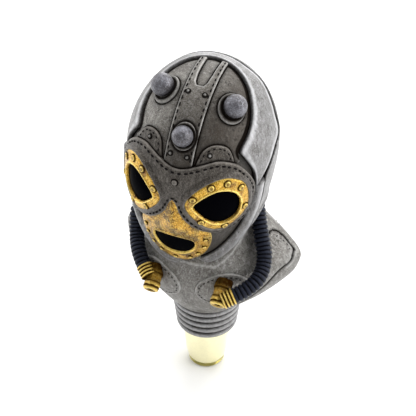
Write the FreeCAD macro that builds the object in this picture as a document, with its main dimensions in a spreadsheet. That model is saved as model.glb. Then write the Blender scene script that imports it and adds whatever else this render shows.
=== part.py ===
"""Figural beer tap handle: the bust of a masked diver on a polished brass ferrule.

Frame: origin at the centre of the ferrule's lower face, where the handle screws onto the tap lever.
+Z up, the mask faces -Y, the figure's left side is +X. Lengths are millimetres.
"""
import math
import os

import FreeCAD, Part
import Sketcher

Vector = FreeCAD.Vector
Placement = FreeCAD.Placement
Rotation = FreeCAD.Rotation

doc = FreeCAD.newDocument("masked_bust_tap_handle")

# ---------------------------------------------------------------------------
# Driving dimensions
# ---------------------------------------------------------------------------

DIMENSIONS = {
    # Ferrule and screw joint
    "thread_radius": 4.7625,      # 3/8-16 UNC, nominal
    "lever_thread_depth": 15.0,
    "relief_radius": 5.4,
    "relief_top": 17.0,
    "ferrule_foot_radius": 10.3,
    "ferrule_band_height": 3.0,
    "ferrule_waist_radius": 10.9,
    "ferrule_belly_radius": 12.9,
    "ferrule_belly_height": 17.0,
    "ferrule_top_radius": 13.5,
    "ferrule_height": 29.2,
    "stud_radius": 4.70,
    "stud_bottom": 17.3,
    "stud_top": 50.0,
    "stud_chamfer": 0.8,
    "washer_radius": 11.0,
    "washer_bore": 4.85,
    "washer_top": 30.0,
    # Collar and its threaded insert
    "insert_radius": 7.5,
    "insert_top": 52.0,
    "collar_bottom_radius": 17.2,
    "collar_top_radius": 19.6,
    "collar_top": 51.4,
    "ring_groove_depth": 1.3,
    "ring_groove_width": 1.2,
    # Torso and neck
    "patch_lift": 0.9,
    "neck_half_width": 19.5,
    "neck_half_depth": 19.0,
    "neck_offset": 1.0,
    "neck_bottom": 88.0,
    "neck_top": 128.0,
    "patch_across": 16.6,
    "patch_height": 77.2,
    "patch_half_width": 12.8,
    "patch_half_height": 10.4,
    # Head form: two half ellipsoids that meet at the height of the eyes
    "head_forward": 7.0,
    "head_height": 147.1,
    "head_nod": 5.6,
    "head_lean": 5.9,
    "head_half_width": 34.4,
    "head_half_depth": 39.7,
    "head_rise": 42.0,
    "head_drop": 71.1,
    # Heights of the layers on the head, above the head form
    "core_lift": -2.2,
    "panel_lift": -0.9,
    "strap_lift": -0.1,
    "hood_lift": 0.0,
    "band_lift": 0.4,
    "mask_lift": 1.0,
    "muzzle_lift": 0.6,
    "nose_lift": 2.6,
    "chin_lift": 1.6,
    "rim_lift": 2.0,
    "lens_lift": 0.9,
    "mouth_lift": -0.2,
    "rivet_height": 0.6,
    # Round fasteners
    "rivet_radius": 1.1,
    "screw_radius": 1.35,
    "dome_radius": 4.9,
    "dome_stem_radius": 4.2,
    "front_dome_radius": 4.4,
    "front_stem_radius": 3.8,
    "dome_centre_lift": 3.4,
    "dome_washer_radius": 6.9,
    "front_washer_radius": 5.7,
    "dome_washer_lift": 0.3,
    "front_washer_lift": 0.5,
    # Hoses and their fittings
    "hose_radius": 3.9,
    "sleeve_radius": 4.2,
    "sleeve_length": 6.0,
    "fitting_radius": 4.3,
    "fitting_length": 15.0,
    "cap_height": 1.8,
    "cap_bore": 1.6,
    "port_radius": 4.8,
    "port_length": 9.0,
}

sheet = doc.addObject("Spreadsheet::Sheet", "Dimensions")
for row, (alias, number) in enumerate(DIMENSIONS.items(), start=1):
    sheet.set("A%d" % row, alias)
    sheet.set("B%d" % row, str(number))
    sheet.setAlias("B%d" % row, alias)
doc.recompute()


def size(text):
    """The number that a sum of sheet names and plain numbers stands for, such as 'a + b - 2'."""
    total = 0.0
    sign = 1.0
    for word in str(text).split():
        if word == "+":
            sign = 1.0
        elif word == "-":
            sign = -1.0
        else:
            total += sign * (float(sheet.get(word)) if word in DIMENSIONS else float(word))
    return total


def bound(text):
    """The same sum written for setExpression."""
    return " ".join("Dimensions." + word if word in DIMENSIONS else word for word in str(text).split())


nodes = []


def node(item, label, placement=None):
    """Name a finished sub-part and put it in its place."""
    item.Label = label
    if placement is not None:
        item.Placement = placement
    nodes.append(item)
    return item


# ---------------------------------------------------------------------------
# Helpers: turned bodies, primitives, booleans, outlines
# ---------------------------------------------------------------------------

def turned(name, outline):
    """A PartDesign body turned about Z. Outline points are (radius, height) sums of sheet names."""
    body = doc.addObject("PartDesign::Body", name)
    sketch = body.newObject("Sketcher::SketchObject", name + "_outline")
    plane = next(item for item in body.Origin.OriginFeatures if item.Role == "XZ_Plane")
    sketch.AttachmentSupport = [(plane, "")]
    sketch.MapMode = "FlatFace"
    corners = [Vector(size(radius), size(height), 0) for radius, height in outline]
    count = len(corners)
    for index in range(count):
        sketch.addGeometry(Part.LineSegment(corners[index], corners[(index + 1) % count]), False)
    for index in range(count):
        sketch.addConstraint(Sketcher.Constraint("Coincident", index, 2, (index + 1) % count, 1))
    for index, (radius, height) in enumerate(outline):
        for kind, text, axis in (("DistanceX", radius, -2), ("DistanceY", height, -1)):
            if text == "0":
                sketch.addConstraint(Sketcher.Constraint("PointOnObject", index, 1, axis))
            else:
                place = sketch.addConstraint(Sketcher.Constraint(kind, -1, 1, index, 1, size(text)))
                sketch.setExpression("Constraints[%d]" % place, bound(text))
    revolution = body.newObject("PartDesign::Revolution", name + "_turned")
    revolution.Profile = sketch
    revolution.ReferenceAxis = (sketch, ["V_Axis"])
    revolution.Angle = 360.0
    sketch.Visibility = False
    body.Tip = revolution
    return body


def primitive(kind, name, **sizes):
    """A Part primitive whose sizes are bound to the sheet."""
    item = doc.addObject("Part::" + kind, name)
    for attribute, text in sizes.items():
        item.setExpression(attribute, bound(text))
    return item


def fuse(name, *items):
    item = doc.addObject("Part::MultiFuse", name)
    item.Shapes = list(items)
    return item


def cut(name, base, tool):
    item = doc.addObject("Part::Cut", name)
    item.Base = base
    item.Tool = tool
    return item


def common(name, *items):
    item = doc.addObject("Part::MultiCommon", name)
    item.Shapes = list(items)
    return item


def mirrored(half):
    """A closed outline from its right half, listed from the top of the axis to the bottom."""
    left = [(-across, up) for across, up in reversed(half) if abs(across) > 0.01]
    return list(half) + left


def flipped(outline):
    return [(-across, up) for across, up in outline]


FRONT = Placement(Vector(), Rotation(Vector(1, 0, 0), 90))
SIDE = Placement(Vector(), Rotation(Vector(0, 0, 1), 90)) * FRONT


def sketched(name, outline, placement, smooth=True):
    """A closed outline: one smooth periodic curve, or straight sides."""
    sketch = doc.addObject("Sketcher::SketchObject", name)
    points = [Vector(across, up, 0) for across, up in outline]
    if smooth:
        curve = Part.BSplineCurve()
        curve.interpolate(Points=points, PeriodicFlag=True)
        sketch.addGeometry(curve, False)
    else:
        for start, end in zip(points, points[1:] + points[:1]):
            sketch.addGeometry(Part.LineSegment(start, end), False)
    sketch.Placement = placement
    return sketch


def prism(name, sketch, direction, ahead, behind=0.0):
    item = doc.addObject("Part::Extrusion", name)
    item.Base = sketch
    item.DirMode = "Custom"
    item.Dir = direction
    item.LengthFwd = ahead
    item.LengthRev = behind
    item.Solid = True
    return item


def front_prism(name, outline, smooth=True, behind=0.0):
    """Prism over the face: outline (across, up), from the middle of the head to before the mask."""
    return prism(name, sketched(name + "_outline", outline, FRONT, smooth), Vector(0, -1, 0), BEFORE, behind)


def side_prism(name, outline, smooth=False):
    """Prism through the head from side to side: outline (back, up)."""
    return prism(name, sketched(name + "_outline", outline, SIDE, smooth), Vector(1, 0, 0), BESIDE, BESIDE)


# ---------------------------------------------------------------------------
# Ferrule, washer, stud, insert, collar
# ---------------------------------------------------------------------------

node(turned("ferrule", [
    ("thread_radius", "0"),
    ("ferrule_foot_radius", "0"),
    ("ferrule_foot_radius", "ferrule_band_height"),
    ("ferrule_waist_radius", "ferrule_band_height + 0.6"),
    ("ferrule_belly_radius", "ferrule_belly_height"),
    ("ferrule_top_radius", "ferrule_height - 4"),
    ("ferrule_top_radius", "ferrule_height - 0.6"),
    ("ferrule_top_radius - 0.6", "ferrule_height"),
    ("thread_radius", "ferrule_height"),
    ("thread_radius", "relief_top"),
    ("relief_radius", "relief_top"),
    ("relief_radius", "lever_thread_depth"),
    ("thread_radius", "lever_thread_depth"),
]), "ferrule")

node(turned("seat_washer", [
    ("washer_bore", "ferrule_height"),
    ("washer_radius", "ferrule_height"),
    ("washer_radius", "washer_top"),
    ("washer_bore", "washer_top"),
]), "seat_washer")

node(turned("hanger_stud", [
    ("0", "stud_bottom"),
    ("stud_radius - stud_chamfer", "stud_bottom"),
    ("stud_radius", "stud_bottom + stud_chamfer"),
    ("stud_radius", "stud_top"),
    ("0", "stud_top"),
]), "hanger_stud")

node(turned("body_insert", [
    ("stud_radius", "washer_top"),
    ("insert_radius", "washer_top"),
    ("insert_radius", "insert_top"),
    ("0", "insert_top"),
    ("0", "stud_top"),
    ("stud_radius", "stud_top"),
]), "body_insert")

RING_COUNT = 5


def collar_outline():
    """Five rings with a groove above each, on a wall that widens upwards."""
    bottom = size("washer_top")
    pitch = (size("collar_top") - bottom) / RING_COUNT
    slope = (size("collar_top_radius") - size("collar_bottom_radius")) / RING_COUNT
    outline = [("insert_radius", "washer_top")]
    for ring in range(RING_COUNT):
        radius = "collar_bottom_radius + %.3f" % (slope * ring)
        low = "washer_top + %.3f" % (pitch * ring)
        high = "washer_top + %.3f - ring_groove_width" % (pitch * (ring + 1))
        top = "washer_top + %.3f" % (pitch * (ring + 1))
        outline += [
            (radius + " - 0.5", low),
            (radius, low + " + 0.6"),
            (radius, high + " - 0.6"),
            (radius + " - 0.5", high),
        ]
        if ring < RING_COUNT - 1:
            outline += [(radius + " - ring_groove_depth", high), (radius + " - ring_groove_depth", top)]
    outline += [("collar_top_radius - 1.5", "collar_top"), ("insert_radius", "collar_top")]
    return outline


node(turned("ribbed_collar", collar_outline()), "ribbed_collar")

# ---------------------------------------------------------------------------
# Torso: smooth skin through level sections, a socket for the neck, chest patches
# ---------------------------------------------------------------------------

# Height, half width, front, y of the shoulder tip, back, two exponents of the front curve
TORSO_LEVELS = [
    (51.4, 19.6, -19.6, 0.0, 19.6, 2.0, 0.50),
    (56.0, 25.6, -22.7, 1.0, 20.8, 2.0, 0.55),
    (63.0, 36.2, -26.5, 3.0, 22.0, 2.0, 0.70),
    (71.0, 44.3, -29.5, 4.5, 23.0, 2.1, 0.90),
    (79.0, 47.8, -31.0, 6.0, 23.5, 2.2, 1.00),
    (84.0, 48.2, -31.0, 6.5, 24.0, 2.2, 1.00),
    (92.0, 41.5, -29.5, 8.0, 24.0, 1.8, 0.95),
    (99.0, 33.5, -25.0, 8.0, 23.5, 1.7, 0.85),
    (106.0, 26.8, -17.0, 6.0, 22.0, 1.8, 0.70),
    (110.0, 23.5, -12.0, 5.0, 21.0, 1.9, 0.60),
]
SECTION_STEPS = (0.0, 0.3, 0.58, 0.8, 0.94)


def torso_section(level, lift):
    """Closed outline of the torso at one height, grown outwards by lift."""
    height, half_width, front, tip, back, broad, blunt = level
    half = []
    for step in SECTION_STEPS:
        half.append((step * (half_width + lift), tip + (front - lift - tip) * (1 - step ** broad) ** blunt))
    half.append((half_width + lift, tip))
    for step in reversed(SECTION_STEPS):
        half.append((step * (half_width + lift), tip + (back + lift - tip) * (1 - step ** 2.5) ** 0.8))
    return mirrored(half)


def torso_skin(name, lift):
    sections = []
    for index, level in enumerate(TORSO_LEVELS):
        placement = Placement(Vector(0, 0, level[0]), Rotation())
        sections.append(sketched("%s_level_%d" % (name, index), torso_section(level, lift), placement))
    skin = doc.addObject("Part::Loft", name)
    skin.Sections = sections
    skin.Solid = True
    skin.Ruled = False
    return skin


def neck_column(name, bottom, top):
    """Upright elliptic column."""
    outline = doc.addObject("Part::Ellipse", name + "_outline")
    outline.setExpression("MajorRadius", bound("neck_half_width"))
    outline.setExpression("MinorRadius", bound("neck_half_depth"))
    outline.Placement = Placement(Vector(0, size("neck_offset"), bottom), Rotation())
    return prism(name, outline, Vector(0, 0, 1), top - bottom)


neck_socket = neck_column("neck_socket", size("neck_bottom"), size("neck_top"))
insert_socket = primitive("Cylinder", "insert_socket", Radius="insert_radius", Height="insert_top")
inner_skin = torso_skin("inner_skin", 0.0)
outer_skin = torso_skin("outer_skin", size("patch_lift"))
patch_layer = cut("patch_layer", outer_skin, inner_skin)

# ---------------------------------------------------------------------------
# Head form and its layers, in the head's own frame
# ---------------------------------------------------------------------------

head_turn = Rotation(Vector(0, 1, 0), size("head_lean")) * Rotation(Vector(1, 0, 0), size("head_nod"))
HEAD = Placement(Vector(0, -size("head_forward"), size("head_height")), head_turn)

# Side view outlines, as (back, up). The hem is the lower edge of the hood.
HEM = [(-28.5, -56.5), (-18.5, -43), (-12.5, -32), (-4, -25), (10, -24), (50, -30)]
HOOD_FRONT = [(6.5, 43), (-0.9, 36.3), (-12.1, 27.8), (-23.3, 19.1), (-22.7, 15.5), (-19.4, 7), (-18.2, -1)]
CHIN_FRONT = [(-18.2, -1), (-18, -13), (-19.6, -27.2), (-21.8, -34.4), (-24.2, -43.5), (-25.9, -51),
              (-32, -52.2)]
BAND_BACK = [(12, 43), (13, 32), (9.8, 26), (7, 20), (5, 13.8), (-1.3, 10.4), (-7.7, 6.5), (-13, 2)]
CHIN_BACK = [(-13, 2), (-12.2, -5), (-12.2, -20), (-12.5, -32)]
SEAM_GAP = 0.9
ABOVE = 60       # height above the head's middle that clears the crown
BEFORE = 70      # distance ahead of the head's middle that clears the mask
BESIDE = 60      # distance to either side that clears the temples
PIN_SINK = 2.5


def head_form(name, lift):
    """The head form grown by a named lift, cut off below the hem."""
    upper = primitive("Ellipsoid", name + "_upper", Radius1="head_rise + " + lift,
                      Radius2="head_half_width + " + lift, Radius3="head_half_depth + " + lift)
    upper.Angle1 = 0
    upper.Angle2 = 90
    lower = primitive("Ellipsoid", name + "_lower", Radius1="head_drop + " + lift,
                      Radius2="head_half_width + " + lift, Radius3="head_half_depth + " + lift)
    lower.Angle1 = -90
    lower.Angle2 = 0
    whole = fuse(name + "_whole", upper, lower)
    outline = [(-BEFORE, HEM[0][1])] + HEM + [(HEM[-1][0], ABOVE), (-BEFORE, ABOVE)]
    return common(name, whole, side_prism(name + "_hem", outline))


def seat(across, up, lift):
    """Placement on the front of the head form, with Z along the form's outward normal."""
    half_width = size("head_half_width + " + lift)
    half_depth = size("head_half_depth + " + lift)
    half_height = size(("head_rise + " if up > 0 else "head_drop + ") + lift)
    depth = -half_depth * math.sqrt(1 - (across / half_width) ** 2 - (up / half_height) ** 2)
    normal = Vector(across / half_width ** 2, depth / half_depth ** 2, up / half_height ** 2)
    return Placement(Vector(across, depth, up), Rotation(Vector(0, 0, 1), normal))


def sunk_seat(across, up, lift):
    """The same placement, sunk far enough for a pin to cross the curved layer all round."""
    return seat(across, up, lift) * Placement(Vector(0, 0, -PIN_SINK), Rotation())


LAYERS = ("core_lift", "panel_lift", "strap_lift", "hood_lift", "band_lift", "mask_lift", "muzzle_lift",
          "nose_lift", "chin_lift", "rim_lift", "lens_lift", "mouth_lift",
          "dome_washer_lift", "front_washer_lift")
forms = {lift: head_form("form_" + lift, lift) for lift in LAYERS}

neck_in_head = neck_column("neck_in_head", size("neck_bottom"), size("neck_top"))
neck_in_head.Placement = HEAD.inverse()


def layer(name, inner, outer, region, removed=None):
    """The part of the layer between two lifts that lies inside a region and outside another."""
    shell = cut(name + "_shell", forms[outer], forms[inner])
    kept = common(name + "_kept", shell, region)
    return cut(name, kept, removed) if removed is not None else kept


MASK = mirrored([(0, 13), (4, 13.6), (11.4, 16.2), (17, 17), (23.8, 13.4), (29.2, 4), (30, -3),
                 (28.6, -14), (24.5, -20), (18.5, -22), (13.6, -20.2), (9.4, -17.5), (5.6, -13.6),
                 (2.6, -8.8), (1.2, -5), (0, -3)])
RIM = [(5.2, -3.6), (8.3, 3.6), (14, 8.8), (20, 10.3), (25.6, 6.5), (28, -2), (27.3, -10.5),
       (22.5, -17), (16.5, -17.8), (10, -12)]
OPENING = [(8.9, -3.4), (13, 1.8), (18, 4.3), (23, 2.2), (25.4, -4), (24.6, -10.8), (20.5, -14),
           (16, -12.8), (11.5, -8)]
MUZZLE = mirrored([(0, 0), (4, -7), (9, -14.5), (15, -19.5), (16.6, -25.5), (15.9, -32), (13.6, -38.6),
                   (9.6, -44), (4.8, -47.3), (0, -48.2)])
MOUTH = mirrored([(0, -25.9), (4.6, -26.2), (8.4, -27.4), (9.7, -30.5), (8.6, -35.4), (4.9, -39.1),
                  (0, -40.1)])
NOSE = [(0, -6), (3.4, -13), (5.4, -21), (0, -23.4), (-5.4, -21), (-3.4, -13)]
TAB = [(8.8, 12), (8.7, 19.5), (11.2, 22.6), (15, 23), (18.8, 21), (21.5, 16), (22, 12)]
STRAP = [(-6.2, 10), (6.2, 10), (6.2, 50), (3.5, 50), (3.5, 41.4), (1.9, 39.2), (-1.9, 39.2), (-3.5, 41.4),
         (-3.5, 50), (-6.2, 50)]

mask_prism = front_prism("mask_prism", MASK)
muzzle_prism = front_prism("muzzle_prism", MUZZLE)
mouth_prism = front_prism("mouth_prism", MOUTH)

node(cut("head_core", forms["core_lift"], neck_in_head), "head_core", HEAD)

hood_outline = [(50, ABOVE), (12 + SEAM_GAP, ABOVE)]
hood_outline += [(back + SEAM_GAP, up - 0.4) for back, up in BAND_BACK + CHIN_BACK[1:]]
hood_outline += HEM[3:]
hood_region = side_prism("hood_region", hood_outline)
node(layer("hood_back", "core_lift", "hood_lift", hood_region, neck_in_head), "hood_back", HEAD)

band_outline = [(6.5, ABOVE)] + HOOD_FRONT + list(reversed(BAND_BACK)) + [(12, ABOVE)]
band_prism = side_prism("band_region", band_outline)
node(layer("temple_band", "core_lift", "band_lift", band_prism, mask_prism), "temple_band", HEAD)

chin_outline = CHIN_FRONT + [(-32, -56.5)] + HEM[:3] + list(reversed(CHIN_BACK[:3]))
chin_removed = fuse("chin_removed", mask_prism, neck_in_head, muzzle_prism)
node(layer("chin_rim", "core_lift", "chin_lift", side_prism("chin_region", chin_outline), chin_removed),
     "chin_rim", HEAD)

panel_outline = [(-60, ABOVE), (5, ABOVE)]
panel_outline += [(back - 1.3, up - 0.8) for back, up in HOOD_FRONT[:5]] + [(-24, 5), (-60, 5)]
panel_region = side_prism("panel_region", panel_outline)
node(layer("forehead_panel", "core_lift", "panel_lift", panel_region, mask_prism), "forehead_panel", HEAD)

strap_prism = front_prism("strap_prism", STRAP, smooth=False, behind=4.0)
node(layer("crown_strap", "panel_lift", "strap_lift", strap_prism, mask_prism), "crown_strap", HEAD)

for side, outline in (("left", TAB), ("right", flipped(TAB))):
    tab_prism = front_prism("tab_prism_" + side, outline)
    node(layer("temple_tab_" + side, "panel_lift", "strap_lift", tab_prism, mask_prism),
         "temple_tab_" + side, HEAD)

rim_prisms = {side: front_prism("rim_prism_" + side, RIM if side == "left" else flipped(RIM))
              for side in ("left", "right")}
both_rims = fuse("both_rims", rim_prisms["left"], rim_prisms["right"])
node(layer("eye_mask", "core_lift", "mask_lift", mask_prism, both_rims), "eye_mask", HEAD)

for side in ("left", "right"):
    outline = OPENING if side == "left" else flipped(OPENING)
    opening_prism = front_prism("opening_prism_" + side, outline)
    node(layer("goggle_rim_" + side, "core_lift", "rim_lift", rim_prisms[side], opening_prism),
         "goggle_rim_" + side, HEAD)
    node(layer("goggle_lens_" + side, "core_lift", "lens_lift", opening_prism), "goggle_lens_" + side, HEAD)

muzzle_removed = fuse("muzzle_removed", mask_prism, mouth_prism)
muzzle_sheet = layer("muzzle_sheet", "core_lift", "muzzle_lift", muzzle_prism, muzzle_removed)
nose_ridge = layer("nose_ridge", "core_lift", "nose_lift", front_prism("nose_prism", NOSE, smooth=False),
                   mask_prism)
node(fuse("muzzle_plate", muzzle_sheet, nose_ridge), "muzzle_plate", HEAD)
node(layer("mouth_screen", "core_lift", "mouth_lift", mouth_prism), "mouth_screen", HEAD)

# ---------------------------------------------------------------------------
# Dome studs, washers and rivets on the head
# ---------------------------------------------------------------------------

DOMES = {
    "left": (15.4, 33.7, "dome_", "panel_lift"),
    "right": (-14.3, 34.7, "dome_", "panel_lift"),
    "front": (0.4, 25.4, "front_", "strap_lift"),
}
for side, (across, up, kind, under) in DOMES.items():
    ball_radius = "dome_radius" if side != "front" else "front_dome_radius"
    top = kind + "washer_lift"
    disc = primitive("Cylinder", "dome_disc_" + side, Radius=kind + "washer_radius", Height="dome_radius")
    disc.Placement = sunk_seat(across, up, under)
    node(layer("dome_washer_" + side, under, top, disc, band_prism), "dome_washer_" + side, HEAD)
    ball = primitive("Sphere", "dome_ball_" + side, Radius=ball_radius)
    raised = Placement(Vector(0, 0, size("dome_centre_lift")), Rotation())
    ball.Placement = seat(across, up, "panel_lift") * raised
    stem = primitive("Cylinder", "dome_stem_" + side, Radius=kind + "stem_radius", Height="dome_centre_lift")
    stem.Placement = seat(across, up, "panel_lift")
    whole = fuse("dome_whole_" + side, ball, stem)
    node(cut("dome_stud_" + side, whole, forms[top]), "dome_stud_" + side, HEAD)


def rivets(name, places, radius, lift):
    """Low round heads that stand on a layer, as one group of separate solids."""
    shell_top = head_form(name + "_top", lift + " + rivet_height")
    shell = cut(name + "_shell", shell_top, forms[lift])
    heads = []
    for index, (across, up) in enumerate(places):
        pin = primitive("Cylinder", "%s_pin_%d" % (name, index), Radius=radius, Height="dome_radius")
        pin.Placement = sunk_seat(across, up, lift)
        heads.append(common("%s_head_%d" % (name, index), shell, pin))
    group = doc.addObject("Part::Compound", name)
    group.Links = heads
    node(group, name, HEAD)


def ring_places(inner, outer, angles):
    """Places half way between two closed outlines, at angles about their middle."""
    middle_across = sum(point[0] for point in inner) / len(inner)
    middle_up = sum(point[1] for point in inner) / len(inner)

    def reach(outline, angle):
        best = min(outline, key=lambda point: abs(math.remainder(
            math.atan2(point[1] - middle_up, point[0] - middle_across) - angle, 2 * math.pi)))
        return math.hypot(best[0] - middle_across, best[1] - middle_up)

    places = []
    for angle in map(math.radians, angles):
        distance = (reach(inner, angle) + reach(outer, angle)) / 2
        places.append((middle_across + distance * math.cos(angle), middle_up + distance * math.sin(angle)))
    return places


SCREWS = ring_places(OPENING, RIM, (-136, -71, -11, 44, 78, 112, 156))
rivets("goggle_screws_left", SCREWS, "screw_radius", "rim_lift")
rivets("goggle_screws_right", flipped(SCREWS), "screw_radius", "rim_lift")
rivets("strap_rivets", [(-3.6, 18.3), (3.6, 18.3), (-3.6, 37.5), (3.6, 37.5)], "rivet_radius", "strap_lift")
rivets("tab_rivets", [(-14.6, 20), (12.2, 19.6)], "rivet_radius", "strap_lift")
rivets("bridge_rivet", [(0.4, 7.2)], "screw_radius", "mask_lift")
MUZZLE_RIVETS = [(14.2, -27), (13.6, -33), (10.9, -39), (7.1, -43)]
rivets("muzzle_rivets", MUZZLE_RIVETS + [(0, -45)] + flipped(MUZZLE_RIVETS), "rivet_radius", "muzzle_lift")

# ---------------------------------------------------------------------------
# Neck, and the head as the torso sees it
# ---------------------------------------------------------------------------

seated_head = doc.addObject("Part::Compound", "seated_head")
seated_head.Links = [forms["chin_lift"]]
seated_head.Placement = HEAD
neck = node(neck_column("neck", size("neck_bottom"), size("neck_top")), "neck")

# ---------------------------------------------------------------------------
# Hoses, ports, fittings and chest patches
# ---------------------------------------------------------------------------

# Middle lines of the hoses, from the port under the hood to the sleeve on the chest
HOSE_ROUTES = {
    "left": [(23.5, 4.5, 115.5), (28.4, -5.2, 104.0), (35.1, -14.9, 91.1), (32.7, -27.9, 85.0),
             (23.8, -33.2, 81.2)],
    "right": [(-23.5, 4.5, 115.5), (-35.8, -5.7, 107.0), (-33.8, -14.4, 92.5), (-27.8, -25.7, 87.4),
              (-23.2, -29.5, 84.1)],
}
BEND_SHARE = 0.45
# Middle of the outer face of the left fitting, and the way that it points
FITTING_FACE = (17.4, -36.0, 77.8)
FITTING_WAY = (0.0, -0.85, -0.53)


def rounded_path(points):
    """Straight runs joined by tangent arcs, each as large as its shorter run allows."""
    edges = []
    start = points[0]
    for before, corner, after in zip(points, points[1:], points[2:]):
        back = (before - corner).normalize()
        onward = (after - corner).normalize()
        inset = BEND_SHARE * min((before - corner).Length, (after - corner).Length)
        half_turn = (math.pi - back.getAngle(onward)) / 2
        radius = inset / math.tan(half_turn)
        middle = corner + (back + onward).normalize() * (math.hypot(radius, inset) - radius)
        first = corner + back * inset
        last = corner + onward * inset
        print("hose bend radius %.1f mm" % radius)
        edges.append(Part.LineSegment(start, first).toShape())
        edges.append(Part.Arc(first, middle, last).toShape())
        start = last
    edges.append(Part.LineSegment(start, points[-1]).toShape())
    return Part.Wire(edges)


def along(start, direction):
    """Placement at a point, with Z along a direction."""
    return Placement(start, Rotation(Vector(0, 0, 1), direction))


def hose_and_fittings(side, sign):
    """One hose, which is returned, with its port, sleeve, banjo fitting, cap and chest patch."""
    route = [Vector(*point) for point in HOSE_ROUTES[side]]
    face = Vector(sign * FITTING_FACE[0], FITTING_FACE[1], FITTING_FACE[2])
    way = Vector(*FITTING_WAY)

    path = doc.addObject("Part::Feature", "hose_path_" + side)
    path.Shape = rounded_path(route)
    ring = doc.addObject("Part::Circle", "hose_ring_" + side)
    ring.setExpression("Radius", bound("hose_radius"))
    ring.Placement = along(route[0], route[1] - route[0])
    hose = doc.addObject("Part::Sweep", "breathing_hose_" + side)
    hose.Sections = [ring]
    hose.Spine = (path, ["Edge%d" % (index + 1) for index in range(len(path.Shape.Edges))])
    hose.Solid = True
    node(hose, "breathing_hose_" + side)
    doc.recompute()
    print("hose volume %.0f, section times length %.0f" % (
        hose.Shape.Volume, math.pi * size("hose_radius") ** 2 * path.Shape.Length))

    port = primitive("Cylinder", "port_" + side, Radius="port_radius", Height="port_length")
    port.Placement = along(route[0], route[0] - route[1])
    port_outside = cut("port_outside_" + side, port, neck)
    node(cut("hose_port_" + side, port_outside, seated_head), "hose_port_" + side)

    barrel = primitive("Cylinder", "fitting_barrel_" + side, Radius="fitting_radius", Height="fitting_length")
    barrel.Placement = along(face, -way)
    around_barrel = fuse("around_barrel_" + side, outer_skin, hose)
    node(cut("hose_fitting_" + side, barrel, around_barrel), "hose_fitting_" + side)

    cap = node(turned("fitting_cap_" + side, [
        ("cap_bore", "0"),
        ("fitting_radius", "0"),
        ("fitting_radius - 0.6", "cap_height"),
        ("cap_bore", "cap_height"),
    ]), "fitting_cap_" + side, along(face, way))

    sleeve = primitive("Cylinder", "sleeve_" + side, Radius="sleeve_radius", Height="sleeve_length")
    sleeve.Placement = along(route[-1], route[-1] - route[-2])
    inside_sleeve = fuse("inside_sleeve_" + side, barrel, cap)
    node(cut("hose_sleeve_" + side, sleeve, inside_sleeve), "hose_sleeve_" + side)

    oval = doc.addObject("Part::Ellipse", "patch_outline_" + side)
    oval.setExpression("MajorRadius", bound("patch_half_width"))
    oval.setExpression("MinorRadius", bound("patch_half_height"))
    oval.Placement = Placement(Vector(sign * size("patch_across"), 0, size("patch_height")), FRONT.Rotation)
    patch_prism = prism("patch_prism_" + side, oval, Vector(0, -1, 0), BEFORE)
    node(common("chest_patch_" + side, patch_layer, patch_prism), "chest_patch_" + side)
    return hose


hoses = [hose_and_fittings("left", 1), hose_and_fittings("right", -1)]
torso_hollows = fuse("torso_hollows", neck_socket, insert_socket, seated_head, *hoses)
node(cut("torso", inner_skin, torso_hollows), "torso")
doc.recompute()

# ---------------------------------------------------------------------------
# Check every object, then write every sub-part
# ---------------------------------------------------------------------------

for item in doc.Objects:
    if "Invalid" in item.State or "Error" in item.State:
        raise RuntimeError("%s: %s" % (item.Name, item.State))
os.makedirs("parts", exist_ok=True)
for item in nodes:
    if item.Shape.isNull() or not item.Shape.isValid() or item.Shape.Volume <= 0:
        raise RuntimeError(item.Label + " has no valid shape")
    item.Shape.exportStep("parts/%s.step" % item.Label)
    box = item.Shape.BoundBox
    print("%-22s solids %d volume %8.0f x %6.1f %6.1f y %6.1f %6.1f z %6.1f %6.1f" % (
        item.Label, len(item.Shape.Solids), item.Shape.Volume, box.XMin, box.XMax, box.YMin, box.YMax,
        box.ZMin, box.ZMax))
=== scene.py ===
"""Looks of the masked diver's bust: a figural tap handle of painted, cast resin on a brass ferrule."""
import math

import bpy
import numpy as np
from mathutils import Matrix, Vector, geometry, kdtree


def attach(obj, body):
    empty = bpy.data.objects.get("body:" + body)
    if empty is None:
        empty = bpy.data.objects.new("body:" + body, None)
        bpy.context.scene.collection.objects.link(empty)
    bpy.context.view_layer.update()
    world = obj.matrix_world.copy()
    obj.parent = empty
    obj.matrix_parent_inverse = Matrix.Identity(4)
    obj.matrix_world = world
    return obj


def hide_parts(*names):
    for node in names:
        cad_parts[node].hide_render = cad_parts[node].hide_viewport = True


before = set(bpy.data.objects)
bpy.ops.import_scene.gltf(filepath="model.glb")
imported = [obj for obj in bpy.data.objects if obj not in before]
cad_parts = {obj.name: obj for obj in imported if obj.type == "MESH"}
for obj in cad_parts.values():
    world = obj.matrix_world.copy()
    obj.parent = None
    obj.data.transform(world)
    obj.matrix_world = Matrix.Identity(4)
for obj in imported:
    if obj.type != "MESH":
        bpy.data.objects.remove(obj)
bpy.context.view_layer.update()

MM = 0.001
TAU = 2 * math.pi

# ---- Head form, in millimetres, as in the CAD: two half ellipsoids on a nodding, leaning head ----

HALF_WIDTH = 34.4
HALF_DEPTH = 39.7
RISE = 42.0
DROP = 71.1
HEAD_CENTRE = (0.0, -7.0, 147.1)
HEAD_LEAN = math.radians(5.9)
HEAD_NOD = math.radians(5.6)
HEAD_TURN = Matrix.Rotation(HEAD_LEAN, 4, "Y") @ Matrix.Rotation(HEAD_NOD, 4, "X")
HEAD_ARRAY = np.array(Matrix.Translation(HEAD_CENTRE) @ HEAD_TURN)
PLANE_SCALE = 38.0  # millimetres of flattened face per radian
CORE = -2.2  # depth of the layers' underside below the head form


def table(points):
    return np.array(points, float)


def unit(vectors):
    return vectors / np.linalg.norm(vectors, axis=-1, keepdims=True)


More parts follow.
